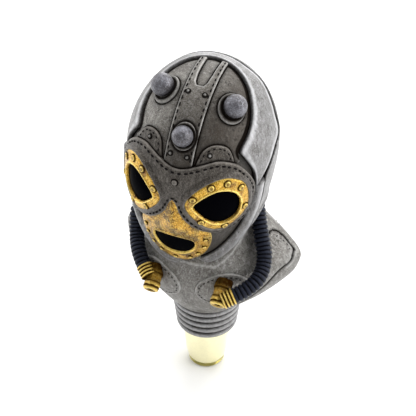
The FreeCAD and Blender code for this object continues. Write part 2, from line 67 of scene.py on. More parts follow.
def semi_axes(directions, lift):
    lift = np.broadcast_to(np.asarray(lift, float), directions.shape[:1])
    vertical = np.where(directions[:, 2] > 0, RISE, DROP)
    return np.stack([HALF_WIDTH + lift, HALF_DEPTH + lift, vertical + lift], axis=1)


def to_world(points):
    """Head frame to object frame, both in millimetres."""
    return points @ HEAD_ARRAY[:3, :3].T + HEAD_ARRAY[:3, 3]


def on_form(directions, lift):
    """Points of the object frame on the head form grown by lift."""
    return to_world(directions * semi_axes(directions, lift))


def form_normals(directions, lift=0.0):
    return unit(directions / semi_axes(directions, lift)) @ HEAD_ARRAY[:3, :3].T


def face_directions(places):
    """Unit directions of places (across, up) on the front of the head."""
    places = table(places)
    side = places[:, 0] / HALF_WIDTH
    up = places[:, 1] / np.where(places[:, 1] > 0, RISE, DROP)
    return np.stack([side, -np.sqrt(np.clip(1 - side ** 2 - up ** 2, 0, 1)), up], axis=1)


def arc_directions(places):
    """Unit directions of places (across, degrees up the middle of the forehead and over the crown)."""
    places = table(places)
    side = places[:, 0] / HALF_WIDTH
    rest = np.sqrt(1 - side ** 2)
    angle = np.radians(places[:, 1])
    return np.stack([side, -rest * np.cos(angle), rest * np.sin(angle)], axis=1)


def directions_of(points):
    """Unit directions of points near the head form, given in the head's own frame."""
    points = table(points)
    vertical = np.where(points[:, 2] > 0, RISE, DROP)
    return unit(points / np.stack([np.full(len(points), HALF_WIDTH), np.full(len(points), HALF_DEPTH),
                                   vertical], axis=1))


class FlatMap:
    """A flat map of the head form; its kinds have flatten() and directions()."""

    def points(self, plane, lift=0.0):
        return on_form(self.directions(plane), lift)


class Face(FlatMap):
    """Flat map around a direction pitched up from straight ahead."""

    def __init__(self, pitch):
        pitch = math.radians(pitch)
        self.across = np.array([1.0, 0.0, 0.0])
        self.up = np.array([0.0, math.sin(pitch), math.cos(pitch)])
        self.out = np.array([0.0, -math.cos(pitch), math.sin(pitch)])

    def flatten(self, directions):
        side, up, out = directions @ self.across, directions @ self.up, directions @ self.out
        reach = np.maximum(np.hypot(side, up), 1e-9)
        angle = np.arccos(np.clip(out, -1, 1))
        return np.stack([side, up], axis=1) * (PLANE_SCALE * angle / reach)[:, None]

    def directions(self, plane):
        reach = np.maximum(np.linalg.norm(plane, axis=1), 1e-9)
        angle = reach / PLANE_SCALE
        side = plane[:, 0] / reach * np.sin(angle)
        up = plane[:, 1] / reach * np.sin(angle)
        return side[:, None] * self.across + up[:, None] * self.up + np.cos(angle)[:, None] * self.out


class Wrap(FlatMap):
    """Flat map of the face: distance round the head, and height."""

    def flatten(self, directions):
        height = directions[:, 2] * np.where(directions[:, 2] > 0, RISE, DROP)
        return np.stack([PLANE_SCALE * np.arctan2(directions[:, 0], -directions[:, 1]), height], axis=1)

    def directions(self, plane):
        up = plane[:, 1] / np.where(plane[:, 1] > 0, RISE, DROP)
        level = np.sqrt(np.clip(1 - up ** 2, 0, 1))
        turn = plane[:, 0] / PLANE_SCALE
        return np.stack([level * np.sin(turn), -level * np.cos(turn), up], axis=1)


FRONT = Wrap()
BROW = Face(45)

# ---- Torso form: level sections with a blunt front curve and swept-back shoulders ----

# Height, half width, front, y of the shoulder tip, back, two exponents of the front curve
TORSO_LEVELS = table([
    (51.4, 19.6, -19.6, 0.0, 19.6, 2.0, 0.50),
    (56.0, 25.6, -22.7, 1.0, 20.8, 2.0, 0.55),
    (63.0, 36.2, -26.5, 3.0, 22.0, 2.0, 0.70),
    (71.0, 44.3, -29.5, 4.5, 23.0, 2.1, 0.90),
    (79.0, 47.8, -31.0, 6.0, 23.5, 2.2, 1.00),
    (84.0, 48.2, -31.0, 6.5, 24.0, 2.2, 1.00),
    (92.0, 41.5, -29.5, 8.0, 24.0, 1.8, 0.95),
    (99.0, 33.5, -25.0, 8.0, 23.5, 1.7, 0.85),
    (106.0, 26.8, -17.0, 6.0, 22.0, 1.8, 0.70),
    (110.0, 23.5, -12.0, 5.0, 21.0, 1.9, 0.60),
])


def torso_level(height):
    """Section values at any height, by cubic interpolation between the levels."""
    heights = TORSO_LEVELS[:, 0]
    values = TORSO_LEVELS[:, 1:]
    slopes = np.gradient(values, heights, axis=0)
    height = np.clip(np.asarray(height, float), heights[0], heights[-1])
    at = np.clip(np.searchsorted(heights, height, side="right") - 1, 0, len(heights) - 2)
    span = heights[at + 1] - heights[at]
    part = ((height - heights[at]) / span)[..., None]
    rise = 3 * part ** 2 - 2 * part ** 3
    leave = (part ** 3 - 2 * part ** 2 + part) * span[..., None]
    arrive = (part ** 3 - part ** 2) * span[..., None]
    return (1 - rise) * values[at] + rise * values[at + 1] + leave * slopes[at] + arrive * slopes[at + 1]


def chest_points(plane, lift):
    """Points on the front of the torso at (across, height), lifted along the surface's normal."""

    def depth(across, height):
        half_width, front, tip, _, broad, blunt = np.moveaxis(torso_level(height), -1, 0)
        step = np.clip(np.abs(across) / half_width, 0, 0.999)
        return tip + (front - tip) * (1 - step ** broad) ** blunt

    across, height = plane[:, 0], plane[:, 1]
    small = 0.05
    slope_across = (depth(across + small, height) - depth(across - small, height)) / (2 * small)
    slope_up = (depth(across, height + small) - depth(across, height - small)) / (2 * small)
    normal = unit(np.stack([slope_across, -np.ones_like(across), slope_up], axis=1))
    lift = np.broadcast_to(np.asarray(lift, float), across.shape)
    return np.stack([across, depth(across, height), height], axis=1) + normal * lift[:, None]


# ---- Curves and outlines ----

def smooth(points, step=0.6, closed=True):
    """Catmull-Rom curve through the points, sampled evenly."""
    points = table(points)
    if closed:
        padded = np.vstack([points[-1:], points, points[:2]])
    else:
        padded = np.vstack([2 * points[:1] - points[1:2], points, 2 * points[-1:] - points[-2:-1]])
    fine = []
    for a, b, c, d in zip(padded, padded[1:], padded[2:], padded[3:]):
        part = np.linspace(0, 1, 24, endpoint=False)[:, None]
        fine.append(0.5 * (2 * b + (c - a) * part + (2 * a - 5 * b + 4 * c - d) * part ** 2
                           + (3 * b - a - 3 * c + d) * part ** 3))
    fine = np.vstack(fine + [points[:1] if closed else points[-1:]])
    return resample(fine, step, closed)


def resample(fine, step=None, closed=False, count=None):
    """The polyline with evenly spaced points; a closed one repeats no point."""
    travelled = np.concatenate([[0], np.cumsum(np.linalg.norm(np.diff(fine, axis=0), axis=1))])
    if count is None:
        count = max(8, int(round(travelled[-1] / step)))
    stops = np.linspace(0, travelled[-1], count, endpoint=not closed)
    return np.stack([np.interp(stops, travelled, fine[:, axis]) for axis in range(fine.shape[1])], axis=1)


def mirrored(half):
    """A closed outline from its right half, listed from the top of the axis to the bottom."""
    half = table(half)
    left = half[::-1] * np.array([-1.0, 1.0])
    return np.vstack([half, left[np.abs(left[:, 0]) > 0.01]])


def flipped(places):
    return table(places) * np.array([-1.0, 1.0])


def inside(places, loop):
    """Even-odd test of places against one closed loop."""
    start, end = loop, np.roll(loop, -1, axis=0)
    odd = np.zeros(len(places), bool)
    for (x0, y0), (x1, y1) in zip(start, end):
        if y0 != y1:
            crosses = (places[:, 1] > min(y0, y1)) & (places[:, 1] <= max(y0, y1))
            odd ^= crosses & (places[:, 0] < x0 + (places[:, 1] - y0) * (x1 - x0) / (y1 - y0))
    return odd


def distance(places, loops):
    """Distance of flat places to the nearest side of any closed loop."""
    best = np.full(len(places), 1e9)
    for loop in loops:
        start, side = loop, np.roll(loop, -1, axis=0) - loop
        length = np.maximum((side ** 2).sum(1), 1e-12)
        for low in range(0, len(places), 4000):
            some = places[low:low + 4000]
            away = some[:, None] - start[None]
            part = np.clip((away * side).sum(2) / length, 0, 1)
            gap = np.linalg.norm(away - part[..., None] * side, axis=2).min(1)
            best[low:low + 4000] = np.minimum(best[low:low + 4000], gap)
    return best


def inset(loop, amount):
    """The closed loop moved to its left by amount."""
    ahead = unit(np.roll(loop, -1, axis=0) - np.roll(loop, 1, axis=0))
    turned = np.stack([-ahead[:, 1], ahead[:, 0]], axis=1)
    area = (loop[:, 0] * np.roll(loop[:, 1], -1) - np.roll(loop[:, 0], -1) * loop[:, 1]).sum()
    return loop + turned * amount * (1 if area > 0 else -1)


class Shade:
    """Dark antiquing wash with painted shade around a set of edges, given as points of the object frame."""

    def __init__(self, *curves):
        points = np.vstack(curves)
        self.tree = kdtree.KDTree(len(points))
        for index, point in enumerate(points):
            self.tree.insert(point, index)
        self.tree.balance()

    def gaps(self, points):
        return np.array([self.tree.find(point)[2] for point in points])

    def wash_and_shade(self, points, reach):
        return np.exp(-(self.gaps(points) / reach) ** 2)

    def line(self, points, width):
        """A black seam line of painted shade: full out to a width, then gone within half a millimetre."""
        return np.clip((width - self.gaps(points)) / 0.5 + 1, 0, 1)


# ---- Mesh building ----

def piece(name, points, faces, material, body="bust", stands_for=(), slot=None, wash_and_shade=None, wear_and_highlight=None,
          soft_edges=True):
    """A mesh object from points in millimetres of the object frame, riding on a CAD body."""
    mesh = bpy.data.meshes.new(name)
    mesh.from_pydata((np.asarray(points) * MM).tolist(), [], [tuple(map(int, face)) for face in faces])
    mesh.validate()
    # wash_and_shade holds the antiquing wash plus painted shade in recesses, seams and undersides;
    # wear_and_highlight holds rubbed paint plus painted highlights on edges and crests
    for label, values in (("wash_and_shade", wash_and_shade), ("wear_and_highlight", wear_and_highlight)):
        store = mesh.attributes.new(label, "FLOAT", "POINT")
        if values is not None:
            store.data.foreach_set("value", np.clip(np.asarray(values, np.float32), 0, 1))
    mesh.polygons.foreach_set("use_smooth", [soft_edges] * len(mesh.polygons))
    mesh.materials.append(material)
    made = bpy.data.objects.new(name, mesh)
    bpy.context.scene.collection.objects.link(made)
    recalculate_outward(mesh)
    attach(made, body)
    if stands_for:
        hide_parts(*stands_for)
    return made


def recalculate_outward(mesh):
    import bmesh
    shell = bmesh.new()
    shell.from_mesh(mesh)
    bmesh.ops.recalc_face_normals(shell, faces=shell.faces)
    shell.to_mesh(mesh)
    shell.free()


def plate(name, loop, surface, top, bottom, material, holes=(), spacing=0.9, edge=0.5, edge_drop=0.4,
          swell=None, shade=None, reach=0.9, seams=(), wear_and_highlight_reach=0.45, **options):
    """A closed plate that lies on a curved surface: rounded upper edges, walls down to its underside.

    shade gives a soft dark wash with painted shade near its points; seams, as (shade, width), give black
    lines of painted shade with firm edges.
    """
    loops = [loop] + list(holes)
    rings = []
    for index, ring in enumerate(loops):
        sign = 1 if index == 0 else -1
        rings += [ring, inset(ring, sign * edge * 0.4), inset(ring, sign * edge)]
    low, high = loop.min(0), loop.max(0)
    columns = np.arange(low[0], high[0], spacing)
    rows = np.arange(low[1], high[1], spacing * 0.866)
    grid = np.array([(x + 0.5 * spacing * (index % 2), y) for index, y in enumerate(rows) for x in columns])
    grid = grid[inside(grid, loop)]
    for hole in holes:
        grid = grid[~inside(grid, hole)]
    grid = grid[distance(grid, loops) > edge + 0.45 * spacing]
    flat = []
    sides = []
    for ring in rings:
        first = len(flat)
        flat += ring.tolist()
        sides += [(first + i, first + (i + 1) % len(ring)) for i in range(len(ring))]
    flat += grid.tolist()
    made = geometry.delaunay_2d_cdt([Vector(place) for place in flat], sides, [], 0, 1e-4)
    places = table([tuple(place) for place in made[0]])
    triangles = np.array(made[2], int)
    middles = places[triangles].mean(1)
    keep = inside(middles, loop)
    for hole in holes:
        keep &= ~inside(middles, hole)
    triangles = triangles[keep]
    used, triangles = np.unique(triangles, return_inverse=True)
    triangles = triangles.reshape(-1, 3)
    places = places[used]
    gap = distance(places, loops)
    rounding = edge_drop * (1 - np.sqrt(1 - (1 - np.minimum(gap / edge, 1)) ** 2))
    lift = top - rounding
    if swell is not None:
        lift = lift + swell(places)
    upper = surface(places, lift)
    under = surface(places, np.full(len(places), float(bottom)))
    count = len(places)
    corners = np.vstack([triangles[:, [0, 1]], triangles[:, [1, 2]], triangles[:, [2, 0]]])
    keys = {}
    for a, b in corners:
        keys[(min(a, b), max(a, b))] = keys.get((min(a, b), max(a, b)), 0) + 1
    faces = [tuple(face) for face in triangles]
    faces += [(face[2] + count, face[1] + count, face[0] + count) for face in triangles]
    faces += [(a, b, b + count, a + count) for a, b in corners if keys[(min(a, b), max(a, b))] == 1]
    # Painted shade, with the antiquing wash, near the layers above and in black seam lines
    wash_and_shade = shade.wash_and_shade(upper, reach) if shade is not None else np.zeros(count)
    for seam, width in seams:
        wash_and_shade = np.maximum(wash_and_shade, seam.line(upper, width))
    # Lighter along the plate's own edges: rubbed paint with a painted highlight, kept off the shaded parts
    wear_and_highlight = np.exp(-(gap / wear_and_highlight_reach) ** 2) * (1 - wash_and_shade)
    # The underside is painted fully dark as shade
    return piece(name, np.vstack([upper, under]), faces, material,
                 wash_and_shade=np.concatenate([wash_and_shade, np.ones(count)]), wear_and_highlight=np.concatenate([wear_and_highlight, np.zeros(count)]),
                 **options)


def ring_faces(rows, around, closed=False):
    """Quads between neighbouring rings of points."""
    faces = []
    for row in range(rows if closed else rows - 1):
        after = (row + 1) % rows
        for column in range(around):
            beside = (column + 1) % around
            faces.append((row * around + column, row * around + beside,
                          after * around + beside, after * around + column))
    return faces


def pole_faces(rows, around):
    """Fans that close both ends of a stack of rings; the two poles follow the rings."""
    first, top = rows * around, (rows - 1) * around
    faces = []
    for column in range(around):
        beside = (column + 1) % around
        faces.append((first, beside, column))
        faces.append((first + 1, top + column, top + beside))
    return faces


def swept(name, rings, material, closed=False, wash_and_shade=None, wear_and_highlight=None, **options):
    """A skin over equal rings of points; open ends are closed with one face each."""
    length, around = rings.shape[:2]
    points = rings.reshape(-1, 3)
    faces = ring_faces(length, around, closed)
    if not closed:
        faces.append(tuple(range(around))[::-1])
        faces.append(tuple((length - 1) * around + column for column in range(around)))
    return piece(name, points, faces, material, wash_and_shade=wash_and_shade, wear_and_highlight=wear_and_highlight, **options)


def ribbon(name, first, second, profile, material, shade=None, reach=0.9, rows=220, dark=(), **options):
    """A raised band between two curves of directions; profile lists (part of the way across, lift).

    dark is a span of parts of the way across that is painted black, as shade in a seam.
    """
    first = resample(first, count=rows)
    second = resample(second, count=rows)
    rings = []
    for part, lift in profile:
        rings.append(on_form(unit(first * (1 - part) + second * part), lift))
    rings = np.stack(rings, axis=1)
    lifts = table(profile)[:, 1]
    top = lifts.max()
    # Painted shade on the walls down to the core and on the dark span
    deep = lifts < CORE + 1.0
    if dark:
        shares = table(profile)[:, 0]
        deep = deep | ((shares >= dark[0]) & (shares <= dark[1]))
    wash_and_shade = np.tile(deep.astype(float), (rows, 1)).reshape(-1)
    if shade is not None:
        wash_and_shade = np.maximum(wash_and_shade, shade.wash_and_shade(rings.reshape(-1, 3), reach))
    # Painted highlight, with the rubbed paint, along the top of the profile
    wear_and_highlight = np.tile(np.exp(-((lifts - top) / 0.3) ** 2) * (np.gradient(lifts) != 0), (rows, 1)).reshape(-1)
    return swept(name, rings, material, wash_and_shade=wash_and_shade, wear_and_highlight=wear_and_highlight, **options)


def revolved(profile, segments):
    """Rings of points about Z, one for each row that starts (radius, height)."""
    turn = np.linspace(0, TAU, segments, endpoint=False)
    rings = np.zeros((len(profile), segments, 3))
    rings[:, :, 0] = profile[:, :1] * np.cos(turn)
    rings[:, :, 1] = profile[:, :1] * np.sin(turn)
    rings[:, :, 2] = profile[:, 1:2]
    return rings


def placed(points, place):
    matrix = np.array(place)
    return points @ matrix[:3, :3].T + matrix[:3, 3]


def lathe(name, profile, place, material, segments=48, **options):
    """A shape turned about local Z from (radius, height, wash_and_shade, wear_and_highlight) rows, that is
    antiquing wash with painted shade and rubbed paint with painted highlight; off the axis, a closed ring.
    """
    profile = table(profile)
    hollow = profile[0, 0] > 0.01 and profile[-1, 0] > 0.01
    return swept(name, placed(revolved(profile, segments), place), material, closed=hollow,
                 wash_and_shade=np.repeat(profile[:, 2], segments), wear_and_highlight=np.repeat(profile[:, 3], segments), **options)


def facing(point, normal):
    """Placement at a point with local Z along a normal."""
    turn = Vector((0, 0, 1)).rotation_difference(Vector(normal)).to_matrix().to_4x4()
    return Matrix.Translation(point) @ turn


def seat(directions, lift):
    return facing(on_form(directions, lift)[0], form_normals(directions, lift)[0])


def circle_at(place, radius, height=0.0, count=24):
    """Points of a circle about a placement's Z axis."""
    turn = np.linspace(0, TAU, count, endpoint=False)
    flat = np.stack([radius * np.cos(turn), radius * np.sin(turn), np.full(count, height)], axis=1)
    return placed(flat, place)


def joined(name, parts, material, **options):
    """One piece made of many separate closed shapes, each (points, faces, wash, wear)."""
    points, faces, wash_and_shade, wear_and_highlight = [], [], [], []
    count = 0
    for part_points, part_faces, part_wash, part_wear in parts:
        points.append(part_points)
        faces += [tuple(index + count for index in face) for face in part_faces]
        wash_and_shade.append(part_wash)
        wear_and_highlight.append(part_wear)
        count += len(part_points)
    return piece(name, np.vstack(points), faces, material,
                 wash_and_shade=np.concatenate(wash_and_shade), wear_and_highlight=np.concatenate(wear_and_highlight), **options)


def turned_shape(profile, place, segments=24):
    """A small turned solid for joined(), from (radius, height, wash_and_shade, wear_and_highlight) rows, that
    is antiquing wash with painted shade and rubbed paint with painted highlight; both ends on the axis.
    """
    profile = table(profile)
    inner = profile[1:-1]
    poles = [[0, 0, profile[0, 1]], [0, 0, profile[-1, 1]]]
    points = placed(np.vstack([revolved(inner, segments).reshape(-1, 3), poles]), place)
    faces = ring_faces(len(inner), segments) + pole_faces(len(inner), segments)
    wash_and_shade = np.concatenate([np.repeat(inner[:, 2], segments), profile[[0, -1], 2]])
    wear_and_highlight = np.concatenate([np.repeat(inner[:, 3], segments), profile[[0, -1], 3]])
    return points, faces, wash_and_shade, wear_and_highlight


# ---- Materials, all procedural, in the object's own coordinates ----

class Recipe:
    """Small helper that wires a node tree."""

    def __init__(self, name):
        self.material = bpy.data.materials.new(name)
        self.material.use_nodes = True
        self.tree = self.material.node_tree
        self.shader = self.tree.nodes["Principled BSDF"]
        self.place = self.tree.nodes.new("ShaderNodeTexCoord").outputs["Object"]

    def link(self, source, target):
        self.tree.links.new(source, target)

    def attribute(self, name):
        node = self.tree.nodes.new("ShaderNodeAttribute")
        node.attribute_name = name
        return node.outputs["Fac"]

    def noise(self, scale, detail=4.0, roughness=0.6, stretch=(1, 1, 1)):
        mapping = self.tree.nodes.new("ShaderNodeMapping")
        mapping.inputs["Scale"].default_value = stretch
        self.link(self.place, mapping.inputs["Vector"])
        node = self.tree.nodes.new("ShaderNodeTexNoise")
        node.inputs["Scale"].default_value = scale
        node.inputs["Detail"].default_value = detail
        node.inputs["Roughness"].default_value = roughness
        self.link(mapping.outputs["Vector"], node.inputs["Vector"])
        return node.outputs["Fac"]

    def along(self, direction):
        """Distance from the origin along a direction, in metres."""
        node = self.tree.nodes.new("ShaderNodeVectorMath")
        node.operation = "DOT_PRODUCT"
        node.inputs[1].default_value = direction
        self.link(self.place, node.inputs[0])
        return node.outputs["Value"]

    def span(self, value, low, high, to_low=0.0, to_high=1.0):
        node = self.tree.nodes.new("ShaderNodeMapRange")
        node.clamp = True
        for key, number in (("From Min", low), ("From Max", high), ("To Min", to_low), ("To Max", to_high)):
            node.inputs[key].default_value = number
        self.link(value, node.inputs["Value"])
        return node.outputs["Result"]

    def maths(self, operation, first, second):
        node = self.tree.nodes.new("ShaderNodeMath")
        node.operation = operation
        node.use_clamp = True
        for socket, value in zip(node.inputs, (first, second)):
            if isinstance(value, (int, float)):
                socket.default_value = value
            else:
                self.link(value, socket)
        return node.outputs[0]

    def mix(self, amount, first, second):
        node = self.tree.nodes.new("ShaderNodeMix")
        node.data_type = "RGBA"
        self.link(amount, node.inputs["Factor"])
        colours = [socket for socket in node.inputs if socket.type == "RGBA"]
        for socket, value in zip(colours, (first, second)):
            if isinstance(value, tuple):
                socket.default_value = value + (1.0,)
            else:
                self.link(value, socket)
        return [socket for socket in node.outputs if socket.type == "RGBA"][0]

    def bump(self, height, depth, strength=1.0):
        node = self.tree.nodes.new("ShaderNodeBump")
        node.inputs["Strength"].default_value = strength
        node.inputs["Distance"].default_value = depth * MM
        self.link(height, node.inputs["Height"])
        self.link(node.outputs["Normal"], self.shader.inputs["Normal"])


def painted(name, base, recess, light, stain, metallic, roughness, staining=0.5, grain=0.25, streak=0.45,
            zone=None, patches=(0.38, 0.64), gloss=0.5):
    """Antiqued paint: dark wash with painted shade in the recesses, stains, bare light paint with painted
    highlights on the edges, cast grain.

    zone is (direction, from, to) in metres: the colour mixes towards the stain colour, browner and darker,
    along that direction.
    """
    recipe = Recipe(name)
    broad = recipe.noise(130, 6.0, 0.7)
    brushed = recipe.noise(650, 5.0, 0.72, (1.0, 1.0, streak))
    fine = recipe.noise(2300, 3.0, 0.7)
    pits = recipe.span(recipe.noise(1100, 5.0, 0.8), 0.56, 0.63)
    stained = recipe.maths("MULTIPLY", recipe.span(broad, *patches), staining)
    colour = recipe.mix(stained, base, stain)
    colour = recipe.mix(recipe.span(brushed, 0.50, 0.70, 0.0, 0.5), colour, light)
    colour = recipe.mix(recipe.span(fine, 0.50, 0.66, 0.0, 0.6), colour, light)
    if zone is not None:
        darkened = recipe.span(recipe.along(zone[0]), zone[1], zone[2], 0.0, 0.85)
        colour = recipe.mix(darkened, colour, stain)
    colour = recipe.mix(recipe.maths("MULTIPLY", pits, 0.75), colour, recess)
    # Painted highlights, with the rubbed paint, where wear_and_highlight is set
    wear_and_highlight_mix = recipe.maths("MULTIPLY", recipe.attribute("wear_and_highlight"), recipe.span(brushed, 0.36, 0.56, 0.55, 1.0))
    colour = recipe.mix(recipe.maths("MULTIPLY", wear_and_highlight_mix, 0.95), colour, light)
    # Painted shade, with the antiquing wash, where wash_and_shade is set
    wash_and_shade_strength = recipe.span(recipe.attribute("wash_and_shade"), 0.0, 0.75)
    wash_and_shade_mix = recipe.maths("MULTIPLY", wash_and_shade_strength, recipe.span(brushed, 0.3, 0.6, 1.0, 0.92))
    colour = recipe.mix(wash_and_shade_mix, colour, recess)
    recipe.link(colour, recipe.shader.inputs["Base Color"])
    # The painted shade also takes away the metal and the specular reflection
    clear = recipe.span(recipe.attribute("wash_and_shade"), 0.1, 0.7, 1.0, 0.0)
    recipe.link(recipe.maths("MULTIPLY", clear, metallic), recipe.shader.inputs["Metallic"])
    recipe.link(recipe.maths("MULTIPLY", clear, gloss), recipe.shader.inputs["Specular IOR Level"])
    rough = recipe.span(fine, 0.3, 0.7, roughness - 0.1, roughness + 0.12)
    recipe.link(rough, recipe.shader.inputs["Roughness"])
    relief = recipe.maths("ADD", recipe.maths("MULTIPLY", brushed, 0.6), recipe.maths("MULTIPLY", fine, 0.4))
    relief = recipe.maths("SUBTRACT", relief, recipe.maths("MULTIPLY", pits, 0.45))
    recipe.bump(relief, grain)
    return recipe.material


def plain(name, colour, metallic, roughness, scale=600, variation=0.15, grain=0.05, coat=0.0):
    """One colour with a slight cloudy variation and a slight surface grain."""
    recipe = Recipe(name)
    cloud = recipe.noise(scale, 3.0)
    darker = tuple(part * (1 - variation) for part in colour)
    mixed = recipe.mix(recipe.span(cloud, 0.35, 0.65), colour, darker)
    recipe.link(mixed, recipe.shader.inputs["Base Color"])
    recipe.shader.inputs["Metallic"].default_value = metallic
    recipe.shader.inputs["Roughness"].default_value = roughness
    recipe.shader.inputs["Coat Weight"].default_value = coat
    recipe.bump(cloud, grain)
    return recipe.material


# RECESS is the near-black of the antiquing wash and the painted shade, and of the cast pits
RECESS = (0.006, 0.0045, 0.0035)
pewter = painted("pewter_paint", (0.175, 0.167, 0.152), RECESS, (0.52, 0.515, 0.50), (0.050, 0.041, 0.031),
                 0.45, 0.40, staining=0.9, grain=0.4)
pewter_brow = painted("pewter_brow", (0.185, 0.175, 0.155), RECESS, (0.50, 0.49, 0.47), (0.030, 0.021, 0.013),
                      0.45, 0.40, staining=0.8, grain=0.4, zone=((1.0, 0.0, -0.6), -0.120, -0.088))
# A lighter, less stained copy of the pewter paint for the temple band, chin roll, hood back and collar:
# painted light on these rolled parts
pewter_lit_copy = painted("pewter_painted_light", (0.185, 0.182, 0.180), RECESS, (0.46, 0.46, 0.47),
                       (0.065, 0.058, 0.049), 0.5, 0.38, staining=0.7, grain=0.4)
# Near-black copy of the pewter paint for the head core, neck and hose ports, which show only in gaps and
# recesses: painted shade
pewter_dark = painted("pewter_painted_shade", (0.045, 0.039, 0.032), (0.008, 0.006, 0.005), (0.14, 0.13, 0.12),
                      (0.016, 0.013, 0.010), 0.3, 0.5)
mask_leather = painted("mask_paint", (0.047, 0.038, 0.029), (0.004, 0.003, 0.0025), (0.24, 0.22, 0.195),
                       (0.016, 0.011, 0.007), 0.4, 0.40, staining=0.9, grain=0.35)
dome_paint = painted("dome_paint", (0.130, 0.128, 0.145), (0.012, 0.010, 0.010), (0.36, 0.37, 0.42),
                     (0.050, 0.043, 0.042), 0.5, 0.34, staining=0.9, streak=1.0)
gold = painted("antique_gold_paint", (0.58, 0.31, 0.020), (0.020, 0.006, 0.001), (1.0, 0.76, 0.20),
               (0.15, 0.045, 0.004), 0.6, 0.28, staining=0.9, patches=(0.47, 0.57))
gold_deep = painted("brown_gold_paint", (0.50, 0.25, 0.016), (0.016, 0.005, 0.001), (1.0, 0.74, 0.18),
                    (0.055, 0.016, 0.003), 0.6, 0.28, staining=0.95, patches=(0.47, 0.57))
black_gloss = plain("gloss_black", (0.0012, 0.0012, 0.002), 0.0, 0.3, grain=0.02)
black_gloss.node_tree.nodes["Principled BSDF"].inputs["IOR"].default_value = 1.02
hose_black = painted("hose_paint", (0.0030, 0.0034, 0.0060), (0.0006, 0.0006, 0.0009), (0.022, 0.026, 0.042),
                     (0.003, 0.003, 0.005), 0.1, 0.34, staining=0.4, grain=0.10, streak=1.0, gloss=0.1)
# Near-black stitch beads stand for the stitch holes: their black is painted shade in the holes, with the wash
stitch_dark = plain("stitch_dark", (0.004, 0.003, 0.003), 0.0, 0.8)
stitch_dark.node_tree.nodes["Principled BSDF"].inputs["Specular IOR Level"].default_value = 0.1
# The polished brass is paled almost to white: brass colour plus a painted reflection of the bright
# surroundings
ferrule_brass = plain("polished_brass_painted_reflection", (0.98, 0.93, 0.62), 1.0, 0.16, variation=0.05, grain=0.01)
foot_brass = plain("foot_brass", (0.60, 0.53, 0.17), 1.0, 0.22, variation=0.2)
insert_brass = plain("insert_brass", (0.66, 0.48, 0.2), 1.0, 0.3)
zinc_steel = plain("zinc_steel", (0.58, 0.59, 0.61), 1.0, 0.32)
nylon = plain("nylon", (0.78, 0.76, 0.70), 0.0, 0.45)

# The parts seen only in gaps and recesses get the painted shade; the hidden hardware keeps its own colours
NODE_MATERIALS = {
    "head_core": pewter_dark,
    "neck": pewter_dark,
    "hose_port_left": pewter_dark,
    "hose_port_right": pewter_dark,
    "seat_washer": nylon,
    "hanger_stud": zinc_steel,
    "body_insert": insert_brass,
}
for node_name, material in NODE_MATERIALS.items():
    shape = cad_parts[node_name].data
    shape.materials.clear()
    shape.materials.append(material)

# ---- Outlines of the head's layers ----

MASK_HALF = [(0, 13), (4, 13.6), (11.4, 16.2), (17, 17), (23.8, 13.4), (29.2, 4), (30, -3), (28.6, -14),
             (24.5, -20), (18.5, -22), (13.6, -20.2), (9.4, -17.5), (5.6, -13.6), (2.6, -8.8), (1.2, -5),
             (0, -3)]
RIM = [(5.2, -3.6), (8.3, 3.6), (14, 8.8), (20, 10.3), (25.6, 6.5), (28, -2), (27.3, -10.5),
       (22.5, -17), (16.5, -17.8), (10, -12)]
OPENING = [(8.9, -3.4), (13, 1.8), (18, 4.3), (23, 2.2), (25.4, -4), (24.6, -10.8), (20.5, -14),
           (16, -12.8), (11.5, -8)]
MUZZLE_HALF = [(0, 0), (4, -7), (9, -14.5), (15, -19.5), (16.6, -25.5), (15.9, -32), (13.6, -38.6),
               (9.6, -44), (4.8, -47.3), (0, -48.2)]
MOUTH_HALF = [(0, -25.9), (4.6, -26.2), (8.4, -27.4), (9.7, -30.5), (8.6, -35.4), (4.9, -39.1), (0, -40.1)]
TAB = [(8.8, 12), (8.7, 19.5), (11.2, 22.6), (15, 23), (18.8, 21), (21.5, 16), (22, 12)]
SIDES = {"left": 1, "right": -1}
SCREW_ANGLES = (-136, -71, -11, 44, 78, 112, 156)
STRAP_RIVETS = [(-3.6, 18.3), (3.6, 18.3), (-3.6, 37.5), (3.6, 37.5)]
TAB_RIVETS = [(-14.6, 20), (12.2, 19.6)]
BRIDGE_RIVET = [(0.4, 7.2)]
MUZZLE_RIVETS = [(14.2, -27), (13.6, -33), (10.9, -39), (7.1, -43)]

# Curves on the hood, from the middle line to the figure's left, as points (across, back, up)
BAND_FRONT = [(0, 7, 42), (7.2, 5.8, 41), (12.5, 3.5, 39.3), (17.8, -0.9, 36.3), (21.4, -6.3, 32.5),
              (23.7, -12.1, 27.8), (24.1, -17.9, 23.5), (23.1, -23.3, 19.1), (25.3, -22.7, 15.5),
              (29.3, -19.6, 7.3), (30, -18, -1)]
BAND_REAR = [(0, 12.5, 40.4), (11.4, 11.7, 38), (14.6, 12.1, 36.2), (20.4, 13.2, 31.1), (25.7, 10.1, 26.1),
             (29.7, 7.1, 20.1), (32.2, 6.5, 13), (33.3, -1.3, 10.4), (33.3, -7.7, 6.5), (32, -14.2, 2.5),
             (30.7, -17.7, -1)]
CHIN_INNER = [(0, -28, -52), (8.5, -25.7, -51.2), (13.2, -25.2, -47.6), (17.5, -24, -43.5),
              (23.4, -21.8, -34.4), (26.9, -19.6, -27.2), (29, -18.5, -19), (30, -18, -12.9), (30, -18, -1)]
CHIN_OUTER = [(0, -23, -57), (10, -21.5, -55), (19, -18, -49), (25, -14.5, -40), (28.5, -12.6, -30),
              (31, -12.4, -20), (32.3, -12.2, -12), (32.2, -12.3, 0)]
